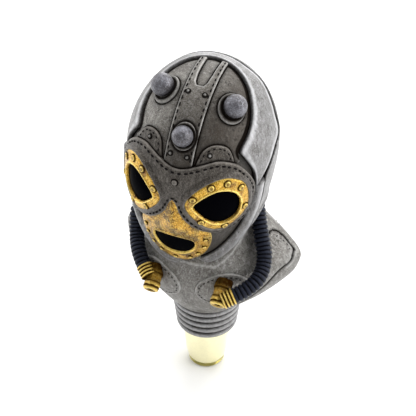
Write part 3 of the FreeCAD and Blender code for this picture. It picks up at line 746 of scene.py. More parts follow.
HOOD_EDGE = [(0, 13.4, 40.2), (14.6, 13, 36), (20.4, 14.1, 30.8), (25.7, 11, 25.8), (29.7, 8, 19.8),
             (32.2, 7.3, 12.7), (33.3, -0.6, 10), (33.3, -7, 6), (32.3, -11.4, 0), (32.3, -11.3, -12),
             (31, -11.5, -20), (29.5, -11.6, -31)]
HOOD_HEM = [(0, 36.6, -28), (12, 34.2, -27.6), (20, 29.6, -27), (27, 20.6, -26), (31, 10, -24.4),
            (32, 0, -24.6), (31.4, -4, -25.6), (30.4, -8, -28.4), (29.4, -11.8, -31.4)]


def arch(points, count=None):
    """Directions of a curve over the whole head, from the figure's right to its left."""
    half = table(points)
    whole = np.vstack([half[:0:-1] * np.array([-1.0, 1.0, 1.0]), half])
    curve = unit(smooth(directions_of(whole), 0.012, closed=False))
    return curve if count is None else unit(resample(curve, count=count))


def outlined(face, places, by=face_directions, step=0.6):
    """Smooth closed outline in a face's flat map."""
    return smooth(face.flatten(by(places)), step)


def polygon(face, places, by, step=0.6):
    """Closed outline of straight runs on the head, in a face's flat map."""
    corners = table(places)
    runs = [np.linspace(a, b, 16, endpoint=False) for a, b in zip(corners, np.roll(corners, -1, axis=0))]
    fine = face.flatten(by(np.vstack(runs)))
    return resample(np.vstack([fine, fine[:1]]), step, closed=True)


mask_loop = outlined(FRONT, mirrored(MASK_HALF))
rim_loops = {"left": outlined(FRONT, RIM), "right": outlined(FRONT, flipped(RIM))}
opening_loops = {"left": outlined(FRONT, OPENING), "right": outlined(FRONT, flipped(OPENING))}
muzzle_loop = outlined(FRONT, mirrored(MUZZLE_HALF))
mouth_loop = outlined(FRONT, mirrored(MOUTH_HALF), step=0.45)
tab_loops = {"left": outlined(BROW, TAB), "right": outlined(BROW, flipped(TAB))}
STRAP = [(-6.2, 15), (6.2, 15), (6.2, 98), (3.5, 98), (3.2, 80), (2.6, 72.5), (1.5, 69.5), (-1.5, 69.5),
         (-2.6, 72.5), (-3.2, 80), (-3.5, 98), (-6.2, 98)]
strap_loop = polygon(BROW, STRAP, arc_directions, 0.5)

DOME_PLACES = {"left": (15.4, 33.7), "right": (-14.3, 34.7), "front": (0.4, 25.4)}
WASHER_RADII = {"left": 6.8, "right": 6.8, "front": 5.6}


def circle(face, place, radius, step=0.6):
    centre = face.flatten(face_directions([place]))[0]
    angles = np.linspace(0, TAU, int(TAU * radius / step), endpoint=False)
    return centre + radius * np.stack([np.cos(angles), np.sin(angles)], axis=1)


washer_loops = {side: circle(BROW, place, WASHER_RADII[side]) for side, place in DOME_PLACES.items()}

PANEL_FOOT = [(0, 11.6), (4, 12.2), (11.4, 14.8), (17, 15.6), (21.8, 13.8), (24.0, 14.8)]
panel_arch = table(BAND_FRONT)[7::-1] * (0.985, 1, 1) + (0, -1.1, -0.6)
panel_half = np.vstack([BROW.flatten(face_directions(PANEL_FOOT)), BROW.flatten(directions_of(panel_arch))])
panel_fine = mirrored(panel_half)
panel_loop = resample(np.vstack([panel_fine, panel_fine[:1]]), 0.5, closed=True)

# Edges of the layers above, for the dark wash and painted shade on the layers below
mask_edge = FRONT.points(mask_loop)
band_edges = np.vstack([on_form(arch(BAND_FRONT, 500), 0.0), on_form(arch(BAND_REAR, 500), 0.0)])
brow_loops = [strap_loop, *tab_loops.values(), washer_loops["left"], washer_loops["right"]]
brow_shade = Shade(mask_edge, band_edges, *[BROW.points(loop) for loop in brow_loops])

# ---- Stitches and small round fasteners ----

def bead(centre, ahead, out, length, width, height):
    """A low ellipsoid on a surface, as points and faces for joined()."""
    across = np.cross(out, ahead)
    points = []
    rows, around = 5, 8
    for row in range(1, rows):
        tilt = math.pi * row / rows
        for column in range(around):
            turn = TAU * column / around
            points.append(centre + ahead * (math.cos(tilt) * length / 2)
                          + across * (math.sin(tilt) * math.cos(turn) * width / 2)
                          + out * (math.sin(tilt) * math.sin(turn) * height))
    points += [centre + ahead * length / 2, centre - ahead * length / 2]
    faces = ring_faces(rows - 1, around) + pole_faces(rows - 1, around)
    return np.array(points), faces, np.zeros(len(points)), np.zeros(len(points))


def stitched(name, lines, pitch=2.9, dash=1.75, width=0.62, height=0.28, **options):
    """Rows of stitches; each line is (points, outward normals) along a surface, closed or open."""
    beads = []
    for points, normals in lines:
        travelled = np.concatenate([[0], np.cumsum(np.linalg.norm(np.diff(points, axis=0), axis=1))])
        count = max(1, int(travelled[-1] / pitch))
        for stop in (np.arange(count) + 0.5) * travelled[-1] / count:
            at = min(np.searchsorted(travelled, stop), len(points) - 2)
            ahead = unit(points[at + 1] - points[max(at - 1, 0)])
            beads.append(bead(points[at], ahead, normals[at], dash, width, height))
    return joined(name, beads, stitch_dark, slot="pewter_dark", **options)


def seam_line(face, plane, lift, closed=True):
    """Points and normals of a stitch line in a face's flat map."""
    if closed:
        plane = np.vstack([plane, plane[:1]])
    directions = face.directions(plane)
    return on_form(directions, lift), form_normals(directions)


def round_head(place, radius, height=0.7, centre=0.15):
    """A domed head in a ring of painted shade, with a painted highlight on its shoulder; centre is how dark
    the middle of its top is.
    """
    return turned_shape([(0, -0.9, 1, 0), (radius * 1.32, -0.9, 1, 0), (radius * 1.32, 0.04, 1, 0),
                         (radius * 1.2, 0.12, 1, 0), (radius * 1.02, 0.1, 1, 0),
                         (radius * 0.92, height * 0.6, 0.2, 0.4), (radius * 0.72, height * 0.88, 0, 1),
                         (radius * 0.5, height * 0.93, centre, 0.8 - centre),
                         (radius * 0.25, height * 0.97, centre, 0.5 - centre / 2),
                         (0, height, centre, 0)], place)


def ringed_rivet(place):
    """A small rivet in the middle of a thick dark washer, painted black as the shade round the rivet."""
    return turned_shape([(0, -0.9, 1, 0), (1.3, -0.9, 1, 0), (1.3, 0.05, 1, 0), (1.22, 0.3, 1, 0),
                         (0.98, 0.42, 1, 0), (0.7, 0.22, 1, 0), (0.66, 0.3, 0.9, 0), (0.6, 0.5, 0.3, 0),
                         (0.36, 0.62, 0.1, 0.2), (0, 0.66, 0.1, 0.3)], place)


def fasteners(name, places, lift, shape, material, slot, node):
    parts = [shape(seat(face_directions([place]), lift)) for place in places]
    return joined(name, parts, material, stands_for=(node,), slot=slot)


# ---- Hood: forehead panel, strap, tabs, temple band, chin rim, back ----

PANEL_TOP = -0.9
STRAP_TOP = 0.05
SHEET_FOOT = -1.6  # underside of what lies on the forehead panel
# Black seam lines of painted shade at the foot of the temple band and round the mask, strap, tabs and washers
band_foot = Shade(on_form(arch(BAND_FRONT, 900), PANEL_TOP))
edge_foot = Shade(FRONT.points(mask_loop, PANEL_TOP), *[BROW.points(loop, PANEL_TOP) for loop in brow_loops])
plate("forehead_skin", panel_loop, BROW.points, PANEL_TOP, CORE, pewter_brow, spacing=0.55, edge=0.5,
      shade=brow_shade, reach=1.3, seams=((band_foot, 2.1), (edge_foot, 0.45)),
      stands_for=("forehead_panel",), slot="pewter")

# Painted shade on the strap round the front washer and along the mask's edge, with a black seam line
strap_shade = Shade(BROW.points(washer_loops["front"]), mask_edge)
plate("forked_strap", strap_loop, BROW.points, STRAP_TOP, SHEET_FOOT, pewter_brow, spacing=0.6, edge=0.45,
      edge_drop=0.45, shade=strap_shade, reach=1.0, seams=((strap_shade, 0.5),),
      stands_for=("crown_strap",), slot="pewter")

strap_seams = []
for sign in (1, -1):
    run = np.stack([np.full(120, sign * 5.15), np.linspace(22, 97, 120)], axis=1)
    directions = arc_directions(run)
    strap_seams.append((on_form(directions, 0.1), form_normals(directions)))
stitched("strap_stitches", strap_seams, pitch=3.0, dash=1.9, width=0.7)

TAB_SEAM_FOOT = 16.2  # the tabs' stitches end above this height, where the mask covers them
for side in SIDES:
    # Painted shade on each tab along the mask's edge
    plate("tab_" + side, tab_loops[side], BROW.points, STRAP_TOP, SHEET_FOOT, mask_leather, spacing=0.7,
          edge=0.6, edge_drop=0.6, shade=Shade(mask_edge), reach=0.9,
          stands_for=("temple_tab_" + side,), slot="mask_leather")
    seam = inset(tab_loops[side], 1.35)
    points, normals = seam_line(BROW, seam, 0.1, closed=False)
    above = FRONT.flatten(BROW.directions(seam))[:, 1] > TAB_SEAM_FOOT
    order = np.roll(np.arange(len(seam)), -int(np.argmax(~above)))
    order = order[above[order]]
    stitched("tab_stitches_" + side, [(points[order], normals[order])], pitch=2.2, dash=1.3, width=0.65)

BAND_PROFILE = [(0, CORE), (0, -0.1), (0.015, 0.25), (0.045, 0.42)]
BAND_PROFILE += [(part, 0.4) for part in (0.1, 0.18, 0.26, 0.34, 0.42, 0.5, 0.58, 0.66, 0.74, 0.81)]
BAND_PROFILE += [(0.88, 0.42), (0.895, 0.1), (0.91, -0.4), (0.94, -0.5), (0.985, -0.5), (1, -0.6), (1, CORE)]
# The band's rear strip is painted black as shade in the seam with the hood; its crest gets a painted
# highlight
ribbon("temple_band_skin", arch(BAND_FRONT), arch(BAND_REAR), BAND_PROFILE, pewter_lit_copy, rows=360,
       shade=Shade(mask_edge), dark=(0.89, 1.0), stands_for=("temple_band",), slot="pewter")

CHIN_PROFILE = [(0, CORE), (0, -0.6), (0.06, 0.3), (0.16, 1.0), (0.3, 1.5), (0.45, 1.7), (0.6, 1.62),
                (0.75, 1.2), (0.88, 0.5), (0.97, -0.4), (1, -1.2), (1, CORE)]
# Painted shade on the chin roll near the mask's edge and on its walls; painted highlight along its crest
ribbon("chin_roll", arch(CHIN_INNER), arch(CHIN_OUTER), CHIN_PROFILE, pewter_lit_copy, rows=320,
       shade=Shade(mask_edge), stands_for=("chin_rim",), slot="pewter")

HOOD_PROFILE = [(0, CORE), (0, -0.4), (0.004, 0.3), (0.012, 0.6)]
HOOD_PROFILE += [(0.02 + 0.9 * step / 36, 0.5 * math.exp(-step / 2)) for step in range(1, 36)]
HOOD_PROFILE += [(0.93, 0.15), (0.945, 0.7), (0.965, 0.95), (0.985, 0.7), (1, 0.0), (1, CORE)]
# A thin strip at the hood's front edge is painted black as shade in the seam
ribbon("hood_back_skin", arch(HOOD_EDGE), arch(HOOD_HEM), HOOD_PROFILE, pewter_lit_copy, rows=300,
       dark=(0, 0.002), stands_for=("hood_back",), slot="pewter")

# ---- Face: mask, goggles, muzzle ----

both_rims = list(rim_loops.values())


def mask_swell(places):
    """The mask rises in a step towards each goggle and sinks a little at the bridge of the nose."""
    gap = distance(places, both_rims)
    step = 0.55 / (1 + np.exp((gap - 2.2) / 0.16))
    return step + 0.5 * np.exp(-(gap / 0.9) ** 2) - 0.25 * np.exp(-((gap - 2.35) / 0.3) ** 2)


# Painted shade on the mask round the foot of each goggle rim
mask_lines = [FRONT.points(inset(loop, -2.3)) for loop in both_rims]
mask_lines += [FRONT.points(loop) for loop in both_rims]
plate("mask_skin", mask_loop, FRONT.points, 1.0, CORE, mask_leather, spacing=0.62, edge=0.8, edge_drop=0.8,
      holes=[inset(loop, 0.35) for loop in both_rims], swell=mask_swell, shade=Shade(*mask_lines), reach=0.5,
      stands_for=("eye_mask",), slot="mask_leather")
stitched("mask_stitches", [seam_line(FRONT, inset(mask_loop, 1.7), 1.05)], pitch=2.75, dash=1.8, width=0.95,
         height=0.3)

RIM_CREST = 2.15
RIM_PROFILE = [(0, CORE), (0, 1.2), (0.03, 1.75), (0.09, RIM_CREST), (0.15, RIM_CREST), (0.21, 1.9),
               (0.28, 1.75), (0.5, 1.8), (0.7, 1.8), (0.86, 1.7), (0.94, 1.4), (1.0, 0.7), (1.0, CORE)]


def by_angle(loop, centre, count=240):
    """The loop resampled at even angles about a centre."""
    away = loop - centre
    angles = np.arctan2(away[:, 1], away[:, 0])
    order = np.argsort(angles)
    reach = np.linalg.norm(away, axis=1)[order]
    angles = angles[order]
    stops = np.linspace(-math.pi, math.pi, count, endpoint=False)
    reach = np.interp(stops, angles, reach, period=TAU)
    return centre + reach[:, None] * np.stack([np.cos(stops), np.sin(stops)], axis=1)


def screw_directions(side):
    """Half way between a goggle's opening and its outer edge, at the stated angles."""
    centre = opening_loops[side].mean(0)
    inner = by_angle(opening_loops[side], centre, 360)
    outer = by_angle(rim_loops[side], centre, 360)
    places = []
    for angle in SCREW_ANGLES:
        turned = angle if side == "left" else 180 - angle
        index = int(round(turned + 180)) % 360
        places.append(inner[index] * 0.42 + outer[index] * 0.58)
    return FRONT.directions(table(places))


for side in SIDES:
    centre = opening_loops[side].mean(0)
    inner = by_angle(opening_loops[side], centre)
    outer = by_angle(rim_loops[side], centre)
    rings = [FRONT.points(inner * (1 - part) + outer * part, lift) for part, lift in RIM_PROFILE]
    rings = np.stack(rings, axis=1)
    screws = screw_directions(side)
    # Painted shade on the rim's walls and in a ring round each screw; painted highlight along the crest and
    # the step
    sunk = [circle_at(seat(direction[None], 1.8), 1.5) for direction in screws]
    lifts = table(RIM_PROFILE)[:, 1]
    flat = rings.reshape(-1, 3)
    wash_and_shade = np.maximum(np.tile(lifts < 0.9, len(inner)), 0.85 * Shade(*sunk).wash_and_shade(flat, 0.45))
    wear_and_highlight = np.tile(np.exp(-((lifts - RIM_CREST) / 0.15) ** 2) + 0.6 * (np.abs(lifts - 1.4) < 0.1), len(inner))
    swept("rim_" + side, rings, gold, closed=True, wash_and_shade=wash_and_shade, wear_and_highlight=wear_and_highlight,
          stands_for=("goggle_rim_" + side,), slot="antique_gold")
    heads = [round_head(seat(direction[None], 1.75), 1.4, 0.8, 0.45) for direction in screws]
    joined("screws_" + side, heads, gold, stands_for=("goggle_screws_" + side,), slot="antique_gold")

    def lens_swell(places, loops=(opening_loops[side],)):
        return 0.7 * (1 - np.exp(-(distance(places, loops) / 4.0) ** 2))

    plate("lens_" + side, inset(opening_loops[side], -0.25), FRONT.points, 0.75, CORE, black_gloss,
          spacing=1.0, swell=lens_swell, stands_for=("goggle_lens_" + side,), slot="black_gloss")

NOSE_HEIGHTS = ([-24, -21.5, -18.5, -14, -7, -3], [0.0, 0.7, 1.9, 2.1, 1.3, 0.4])
NOSE_WIDTHS = ([-23, -19, -14, -7, 0], [7.5, 7.0, 5.6, 3.6, 2.4])


def muzzle_swell(places):
    """Wedge-shaped nose, a lip round the mouth and a raised outer border."""
    across, up = places[:, 0], places[:, 1]
    height = np.interp(up, *NOSE_HEIGHTS)
    width = np.interp(up, *NOSE_WIDTHS)
    nose = height * np.clip(1 - np.abs(across) / width, 0, 1)
    mouth = distance(places, [mouth_loop])
    border = distance(places, [muzzle_loop])
    lip = 0.45 * np.exp(-((mouth - 0.7) / 0.6) ** 2)
    groove = -0.35 * np.exp(-((border - 4.2) / 0.4) ** 2) * (up < -24)
    return nose + lip + groove


NOSE_SHADOW = [(1.2, -9), (2.2, -12), (3.2, -16), (3.8, -20), (4.6, -23)]
MUZZLE_TOP = 0.6
nose_shadow = FRONT.flatten(face_directions(smooth(NOSE_SHADOW, 0.5, closed=False)))
# Painted shade round the mouth, along the mask's edge and down the nose's side
muzzle_lines = [FRONT.points(inset(mouth_loop, -2.0)), mask_edge, FRONT.points(nose_shadow)]
plate("muzzle_skin", muzzle_loop, FRONT.points, MUZZLE_TOP, CORE, gold_deep, holes=[mouth_loop], spacing=0.55,
      edge=0.5, edge_drop=0.5, swell=muzzle_swell, shade=Shade(*muzzle_lines), reach=0.6,
      stands_for=("muzzle_plate",), slot="antique_gold")
plate("mouth_grille", inset(mouth_loop, -0.2), FRONT.points, 0.0, CORE, black_gloss,
      stands_for=("mouth_screen",), slot="black_gloss")


def bridge_head(place):
    return round_head(place, 1.3)


def muzzle_head(place):
    return round_head(place, 0.95)


fasteners("strap_heads", STRAP_RIVETS, STRAP_TOP, ringed_rivet, pewter, "pewter", "strap_rivets")
fasteners("tab_heads", TAB_RIVETS, STRAP_TOP, ringed_rivet, pewter, "pewter", "tab_rivets")
fasteners("bridge_head", BRIDGE_RIVET, 1.05, bridge_head, mask_leather, "pewter", "bridge_rivet")
fasteners("muzzle_heads", MUZZLE_RIVETS + [(0, -45)] + flipped(MUZZLE_RIVETS).tolist(), MUZZLE_TOP,
          muzzle_head, gold, "antique_gold", "muzzle_rivets")

# ---- Domes and their washers ----

BALL_RADII = {"left": 4.9, "right": 4.9, "front": 4.4}
BALL_CENTRE = 3.4


def ball_profile(radius):
    """Rows of a stem with a ball on it, with painted shade at its foot under the ball."""
    stem = radius * 0.86
    rows = [(0, -1.6), (stem, -1.6), (stem, 0.0), (stem * 0.98, 0.7)]
    for tilt in range(-32, 90, 7):
        turned = math.radians(tilt)
        rows.append((radius * math.cos(turned), BALL_CENTRE + radius * math.sin(turned)))
    rows.append((0, BALL_CENTRE + radius - 0.05))
    return [(across, up, min(1, max(0, (2.6 - up) / 1.4)), 0) for across, up in rows]


for side, place in DOME_PLACES.items():
    under = -0.9 if side != "front" else -0.1
    lift = 0.1 if side != "front" else 0.35

    def washer_swell(places, loops=(washer_loops[side],)):
        gap = distance(places, loops)
        return 0.3 * np.exp(-((gap - 0.8) / 0.5) ** 2) - 0.35 * np.exp(-((gap - 2.0) / 0.5) ** 2)

    ball_place = seat(face_directions([place]), PANEL_TOP)
    # Painted shade on the washer round the ball's foot and inside its raised rim
    ball_foot = circle_at(ball_place, BALL_RADII[side], 1.0, 60)
    washer_shade = Shade(ball_foot, BROW.points(inset(washer_loops[side], 1.9)))
    plate("washer_" + side, washer_loops[side], BROW.points, lift, under - 0.6, pewter_brow, spacing=0.6,
          edge=0.6, edge_drop=0.7, swell=washer_swell, shade=washer_shade, reach=0.9,
          stands_for=("dome_washer_" + side,), slot="pewter")
    lathe("dome_" + side, ball_profile(BALL_RADII[side]), ball_place, dome_paint,
          stands_for=("dome_stud_" + side,), slot="dome_pewter")

# ---- Torso: skin with shoulder rims, neckline, seams, and stitched patches ----

def torso_grid(rows, columns):
    heights = np.linspace(51.4, 110.0, rows)
    values = torso_level(heights)
    turn = np.linspace(0, TAU, columns, endpoint=False)
    across = np.cos(turn)
    step = np.clip(np.abs(across), 0, 1)
    grid = np.zeros((rows, columns, 3))
    for row in range(rows):
        half_width, front, tip, back, broad, blunt = values[row]
        ahead = (front - tip) * (1 - step ** broad) ** blunt
        behind = (back - tip) * (1 - step ** 2.5) ** 0.8
        grid[row, :, 0] = across * half_width
        grid[row, :, 1] = tip + np.where(np.sin(turn) < 0, ahead, behind)
        grid[row, :, 2] = heights[row]
    return np.stack([resample(np.vstack([ring, ring[:1]]), closed=True, count=columns) for ring in grid])


def grid_normals(grid):
    around = np.roll(grid, -1, axis=1) - np.roll(grid, 1, axis=1)
    upward = np.gradient(grid, axis=0)
    return unit(np.cross(around, upward))


def both_sides(points):
    points = table(points)
    return [points, points * np.array([-1.0, 1.0, 1.0])]


torso = torso_grid(130, 420)
normals = grid_normals(torso)

NECKLINE = [(0, -29.8, 93.2), (9, -29.2, 92.4), (13, -25, 91.2), (19, -21, 96), (23, -20, 100.5),
            (27, -12, 105.2), (28, 0, 107.0), (25, 12, 107.4), (12, 20, 107.6), (0, 21.6, 107.6)]
RIM_GROOVE = [(17.5, -20.5, 54.5), (22.0, -20.5, 56.8), (30.0, -18.4, 63.5), (37.6, -14.6, 71),
              (41.8, -10.5, 77.5), (43.0, -4.0, 81.2), (42.0, 6.0, 84.4)]
SHOULDER_SEAM = [(31.5, -8, 96.4), (33.5, 3, 97.6), (38.8, 5.5, 93.4), (42.0, 6.0, 84.4)]
BACK_SEAM = [(32.4, 12.8, 98.6), (37.2, 14.4, 92.8), (41.4, 15.5, 86.0)]
SHOULDER_STITCHES = [(34.5, 2.5, 95.2), (39.4, 4.2, 90.0), (41.0, 3.6, 85.6)]


def surface_line(points, step=0.35):
    """The smooth curve through the points, dropped onto the torso's skin."""
    curve = smooth(points, step, closed=False)
    flat = torso.reshape(-1, 3)
    tree = kdtree.KDTree(len(flat))
    for index, point in enumerate(flat):
        tree.insert(point, index)
    tree.balance()
    found = [tree.find(point)[1] for point in curve]
    return flat[found], normals.reshape(-1, 3)[found]


neckline_lines = [surface_line(points) for points in both_sides(NECKLINE)]
groove_lines = [surface_line(points) for points in both_sides(RIM_GROOVE)]
seam_lines = [surface_line(points) for points in both_sides(SHOULDER_SEAM)]

flat = torso.reshape(-1, 3)


def closeness(lines, reach):
    return Shade(*[points for points, _ in lines]).wash_and_shade(flat, reach)


outward = np.abs(flat[:, 0]) > np.interp(flat[:, 2], [54.5, 56.8, 63.5, 71, 77.5, 81.2, 84.4, 86.5],
                                         [17.5, 22, 30, 37.6, 41.8, 43, 42, 38.6])
near_groove = closeness(groove_lines, 2.6)
lift = 0.55 * closeness(neckline_lines, 0.8)
lift -= 0.75 * closeness(groove_lines, 0.6)
lift += 0.45 * np.where(outward, near_groove, 0) * (1 - closeness(groove_lines, 0.5))
lift -= 0.5 * closeness(seam_lines, 0.45)
# Painted shade in the shoulder grooves and seams; painted highlight on the neckline lip and the shoulder rims
wash_and_shade = np.clip(closeness(groove_lines, 0.7) + 0.9 * closeness(seam_lines, 0.55), 0, 1)
wear_and_highlight = np.clip(0.8 * closeness(neckline_lines, 0.6) + np.where(outward, near_groove, 0) * 0.6, 0, 1)
skin = (flat + normals.reshape(-1, 3) * lift[:, None]).reshape(torso.shape)

# The skin turns in to the neck at the top and to the insert at the bottom
top_rings = [(0.985, 110.5), (0.95, 110.9), (0.86, 111.0)]
middle = np.array([0.0, 1.0, 0.0])
extra = []
for share, height in top_rings:
    ring = middle + (skin[-1] - middle) * share
    ring[:, 2] = height
    extra.append(ring)
skin = np.concatenate([skin, np.stack(extra)])
wash_and_shade = np.concatenate([wash_and_shade, np.zeros(len(top_rings) * torso.shape[1])])
wear_and_highlight = np.concatenate([wear_and_highlight, np.zeros(len(top_rings) * torso.shape[1])])
swept("torso_skin", skin, pewter, wash_and_shade=wash_and_shade, wear_and_highlight=wear_and_highlight, stands_for=("torso",), slot="pewter")

shoulder_stitches = []
for sign in SIDES.values():
    for seam in (BACK_SEAM, SHOULDER_STITCHES):
        shoulder_stitches.append(surface_line(table(seam) * (sign, 1, 1)))
stitched("shoulder_stitches", shoulder_stitches, pitch=2.4, dash=1.3, width=0.55)

PATCH_CENTRE = (16.6, 77.2)
PATCH_SIZE = (12.8, 10.4)
for side, sign in SIDES.items():
    angles = np.linspace(0, TAU, 110, endpoint=False)
    oval = np.stack([np.cos(angles) * PATCH_SIZE[0], np.sin(angles) * PATCH_SIZE[1]], axis=1)
    oval = oval + np.array([sign * PATCH_CENTRE[0], PATCH_CENTRE[1]])
    plate("patch_" + side, oval, chest_points, 0.9, -1.2, pewter, spacing=0.8, edge=0.7, edge_drop=0.7,
          stands_for=("chest_patch_" + side,), slot="pewter")
    line = inset(oval, 1.7)
    line = np.vstack([line, line[:1]])
    points = chest_points(line, 0.9)
    out = unit(chest_points(line, 1.9) - points)
    stitched("patch_stitches_" + side, [(points, out)], pitch=2.3, dash=1.25, width=0.55, height=0.25)

# ---- Ribbed collar ----

COLLAR = (30.0, 51.4, 17.2, 19.6)
RING_COUNT = 5
GROOVE = (1.3, 1.2)


def collar_profile():
    low, high, bottom_radius, top_radius = COLLAR
    pitch = (high - low) / RING_COUNT
    # Rows carry painted shade in the grooves and on the end faces, and painted highlights on the ring crests
    profile = [(7.5, low, 1, 0)]
    for ring in range(RING_COUNT):
        radius = bottom_radius + (top_radius - bottom_radius) * ring / RING_COUNT
        base = low + pitch * ring
        tall = pitch - GROOVE[1]
        for share in np.linspace(0, 1, 9):
            bulge = math.sqrt(max(0.0, 1 - (2 * share - 1) ** 2))
            profile.append((radius - 1.0 + 1.0 * bulge ** 0.7, base + tall * share, 0.5 * (1 - bulge),
                            max(0.0, bulge - 0.5)))
        if ring < RING_COUNT - 1:
            profile.append((radius - GROOVE[0], base + tall + 0.15, 1, 0))
            profile.append((radius - GROOVE[0], base + pitch - 0.15, 1, 0))
    profile += [(18.8, high, 1, 0), (7.5, high, 1, 0)]
    return profile


lathe("collar_rings", collar_profile(), Matrix.Identity(4), pewter_lit_copy, segments=96,
      stands_for=("ribbed_collar",), slot="pewter")

# ---- Hoses and fittings ----

HOSE_ROUTES = {
    "left": [(23.5, 4.5, 115.5), (28.4, -5.2, 104.0), (35.1, -14.9, 91.1), (32.7, -27.9, 85.0),
             (23.8, -33.2, 81.2)],
    "right": [(-23.5, 4.5, 115.5), (-35.8, -5.7, 107.0), (-33.8, -14.4, 92.5), (-27.8, -25.7, 87.4),
              (-23.2, -29.5, 84.1)],
}
HOSE_PITCH = 2.15
HOSE_SAMPLES = 9
HOSE_VALLEY = 3.0
HOSE_PEAK = 3.9
FITTING_FACE = (17.4, -36.0, 77.8)
FITTING_WAY = (0.0, -0.85, -0.53)


def bent_route(points):
    """Quadratic blend that keeps to the route's legs and rounds its corners."""
    points = table(points)
    middles = (points[1:] + points[:-1]) / 2
    fine = [points[0]]
    for start, corner, end in zip(np.vstack([points[:1], middles[1:-1]]), points[1:-1],
                                  np.vstack([middles[1:-1], points[-1:]])):
        share = np.linspace(0, 1, 60)[1:, None]
        fine += list((1 - share) ** 2 * start + 2 * share * (1 - share) * corner + share ** 2 * end)
    return np.array(fine)


def carried_frames(line):
    """Tangents and two side directions carried along a line without twist."""
    ahead = unit(np.gradient(line, axis=0))
    side = unit(np.cross(ahead[0], (0.3, 0.2, 1.0)))
    sides = []
    for direction in ahead:
        side = unit(side - direction * (side @ direction))
        sides.append(side)
    sides = np.array(sides)
    return ahead, sides, np.cross(ahead, sides)


def hose(side):
    line = bent_route(HOSE_ROUTES[side])
    length = np.linalg.norm(np.diff(line, axis=0), axis=1).sum()
    ribs = int(round(length / HOSE_PITCH))
    line = resample(line, count=ribs * HOSE_SAMPLES + 1)
    _, sides, others = carried_frames(line)
    phase = (np.arange(len(line)) % HOSE_SAMPLES) / HOSE_SAMPLES
    bulge = np.sqrt(np.clip(1 - (2 * phase - 1) ** 2, 0, 1))
    radii = HOSE_VALLEY + (HOSE_PEAK - HOSE_VALLEY) * bulge ** 0.8
    turn = np.linspace(0, TAU, 36, endpoint=False)
    rings = (line[:, None] + radii[:, None, None] * (np.cos(turn)[None, :, None] * sides[:, None]
                                                      + np.sin(turn)[None, :, None] * others[:, None]))
    # Painted shade in the valleys between the ribs, painted highlight on the rib crests
    wash_and_shade = np.repeat(np.clip(1.1 - 1.6 * bulge, 0, 1), len(turn))
    wear_and_highlight = np.repeat(np.clip(bulge * 3 - 2.1, 0, 1), len(turn))
    swept("hose_" + side, rings, hose_black, wash_and_shade=wash_and_shade, wear_and_highlight=wear_and_highlight,
          stands_for=("breathing_hose_" + side,), slot="hose_black")
    return line


# The fitting profiles carry painted shade in their grooves and painted highlights on their ribs and edges
SLEEVE_PROFILE = [(0, -1.0, 1, 0)]
for ring in range(4):
    for share, swell in ((0.05, 0.0), (0.3, 0.45), (0.55, 0.5), (0.8, 0.0)):
        SLEEVE_PROFILE.append((3.75 + swell, -0.8 + 1.7 * (ring + share), 1.0 - 2 * swell, 1.6 * swell))
SLEEVE_PROFILE += [(0, 6.0, 1, 0)]
BARREL_PROFILE = [(0, 11.5, 1, 0), (4.5, 11.5, 1, 0), (4.5, 7.6, 0.6, 0), (4.1, 7.0, 0.8, 0),
                  (3.9, 5.0, 0.3, 0), (3.9, 2.9, 0.5, 0), (4.3, 2.5, 0.8, 0), (4.35, 0.9, 0, 0.4),
                  (4.1, 0.2, 0.2, 0.6), (0, 0.1, 1, 0)]
CAP_PROFILE = [(1.4, -0.5, 1, 0), (4.0, -0.5, 1, 0), (4.05, 0.3, 0.9, 0), (3.9, 1.1, 0.1, 0.6),
               (3.4, 1.7, 0, 1), (2.8, 1.75, 0, 0.6), (2.4, 1.35, 0.7, 0), (2.1, 1.5, 0.2, 0.6),
               (1.7, 1.45, 0.3, 0.4),
               (1.4, 0.9, 1, 0)]

for side, sign in SIDES.items():
    line = hose(side)
    face = table(FITTING_FACE) * (sign, 1, 1)
    lathe("sleeve_" + side, SLEEVE_PROFILE, facing(line[-1], line[-1] - line[-6]), gold, segments=32,
          stands_for=("hose_sleeve_" + side,), slot="antique_gold")
    lathe("fitting_" + side, BARREL_PROFILE, facing(face, -table(FITTING_WAY)), gold, segments=8,
          soft_edges=False, stands_for=("hose_fitting_" + side,), slot="antique_gold")
    lathe("cap_" + side, CAP_PROFILE, facing(face, FITTING_WAY), gold, segments=36,
          stands_for=("fitting_cap_" + side,), slot="antique_gold")

# ---- Ferrule: polished cone, ridged foot, threaded bore ----

THREAD_RADIUS = 4.7625
THREAD_DEPTH = 0.55
THREAD_PITCH = 1.5875
THREAD_LENGTH = 15.0
FOOT_HEIGHT = 3.3   # the foot's darker brass ends here
BORE_REACH = 9.0    # and covers everything nearer to the axis than this


FERRULE_FOOT = [(9.8, 0.0), (10.2, 0.15), (10.35, 0.5), (10.35, 0.9), (10.05, 1.05), (10.05, 1.25),
                (10.35, 1.4), (10.4, 1.9), (10.1, 2.05), (10.1, 2.25), (10.4, 2.4), (10.45, 2.85),
                (10.3, 3.05), (10.25, 3.2)]
FERRULE_CONE = [(10.9, 3.5), (11.7, 7.5), (12.35, 12), (12.9, 17), (13.35, 22), (13.55, 26), (13.5, 28.4)]


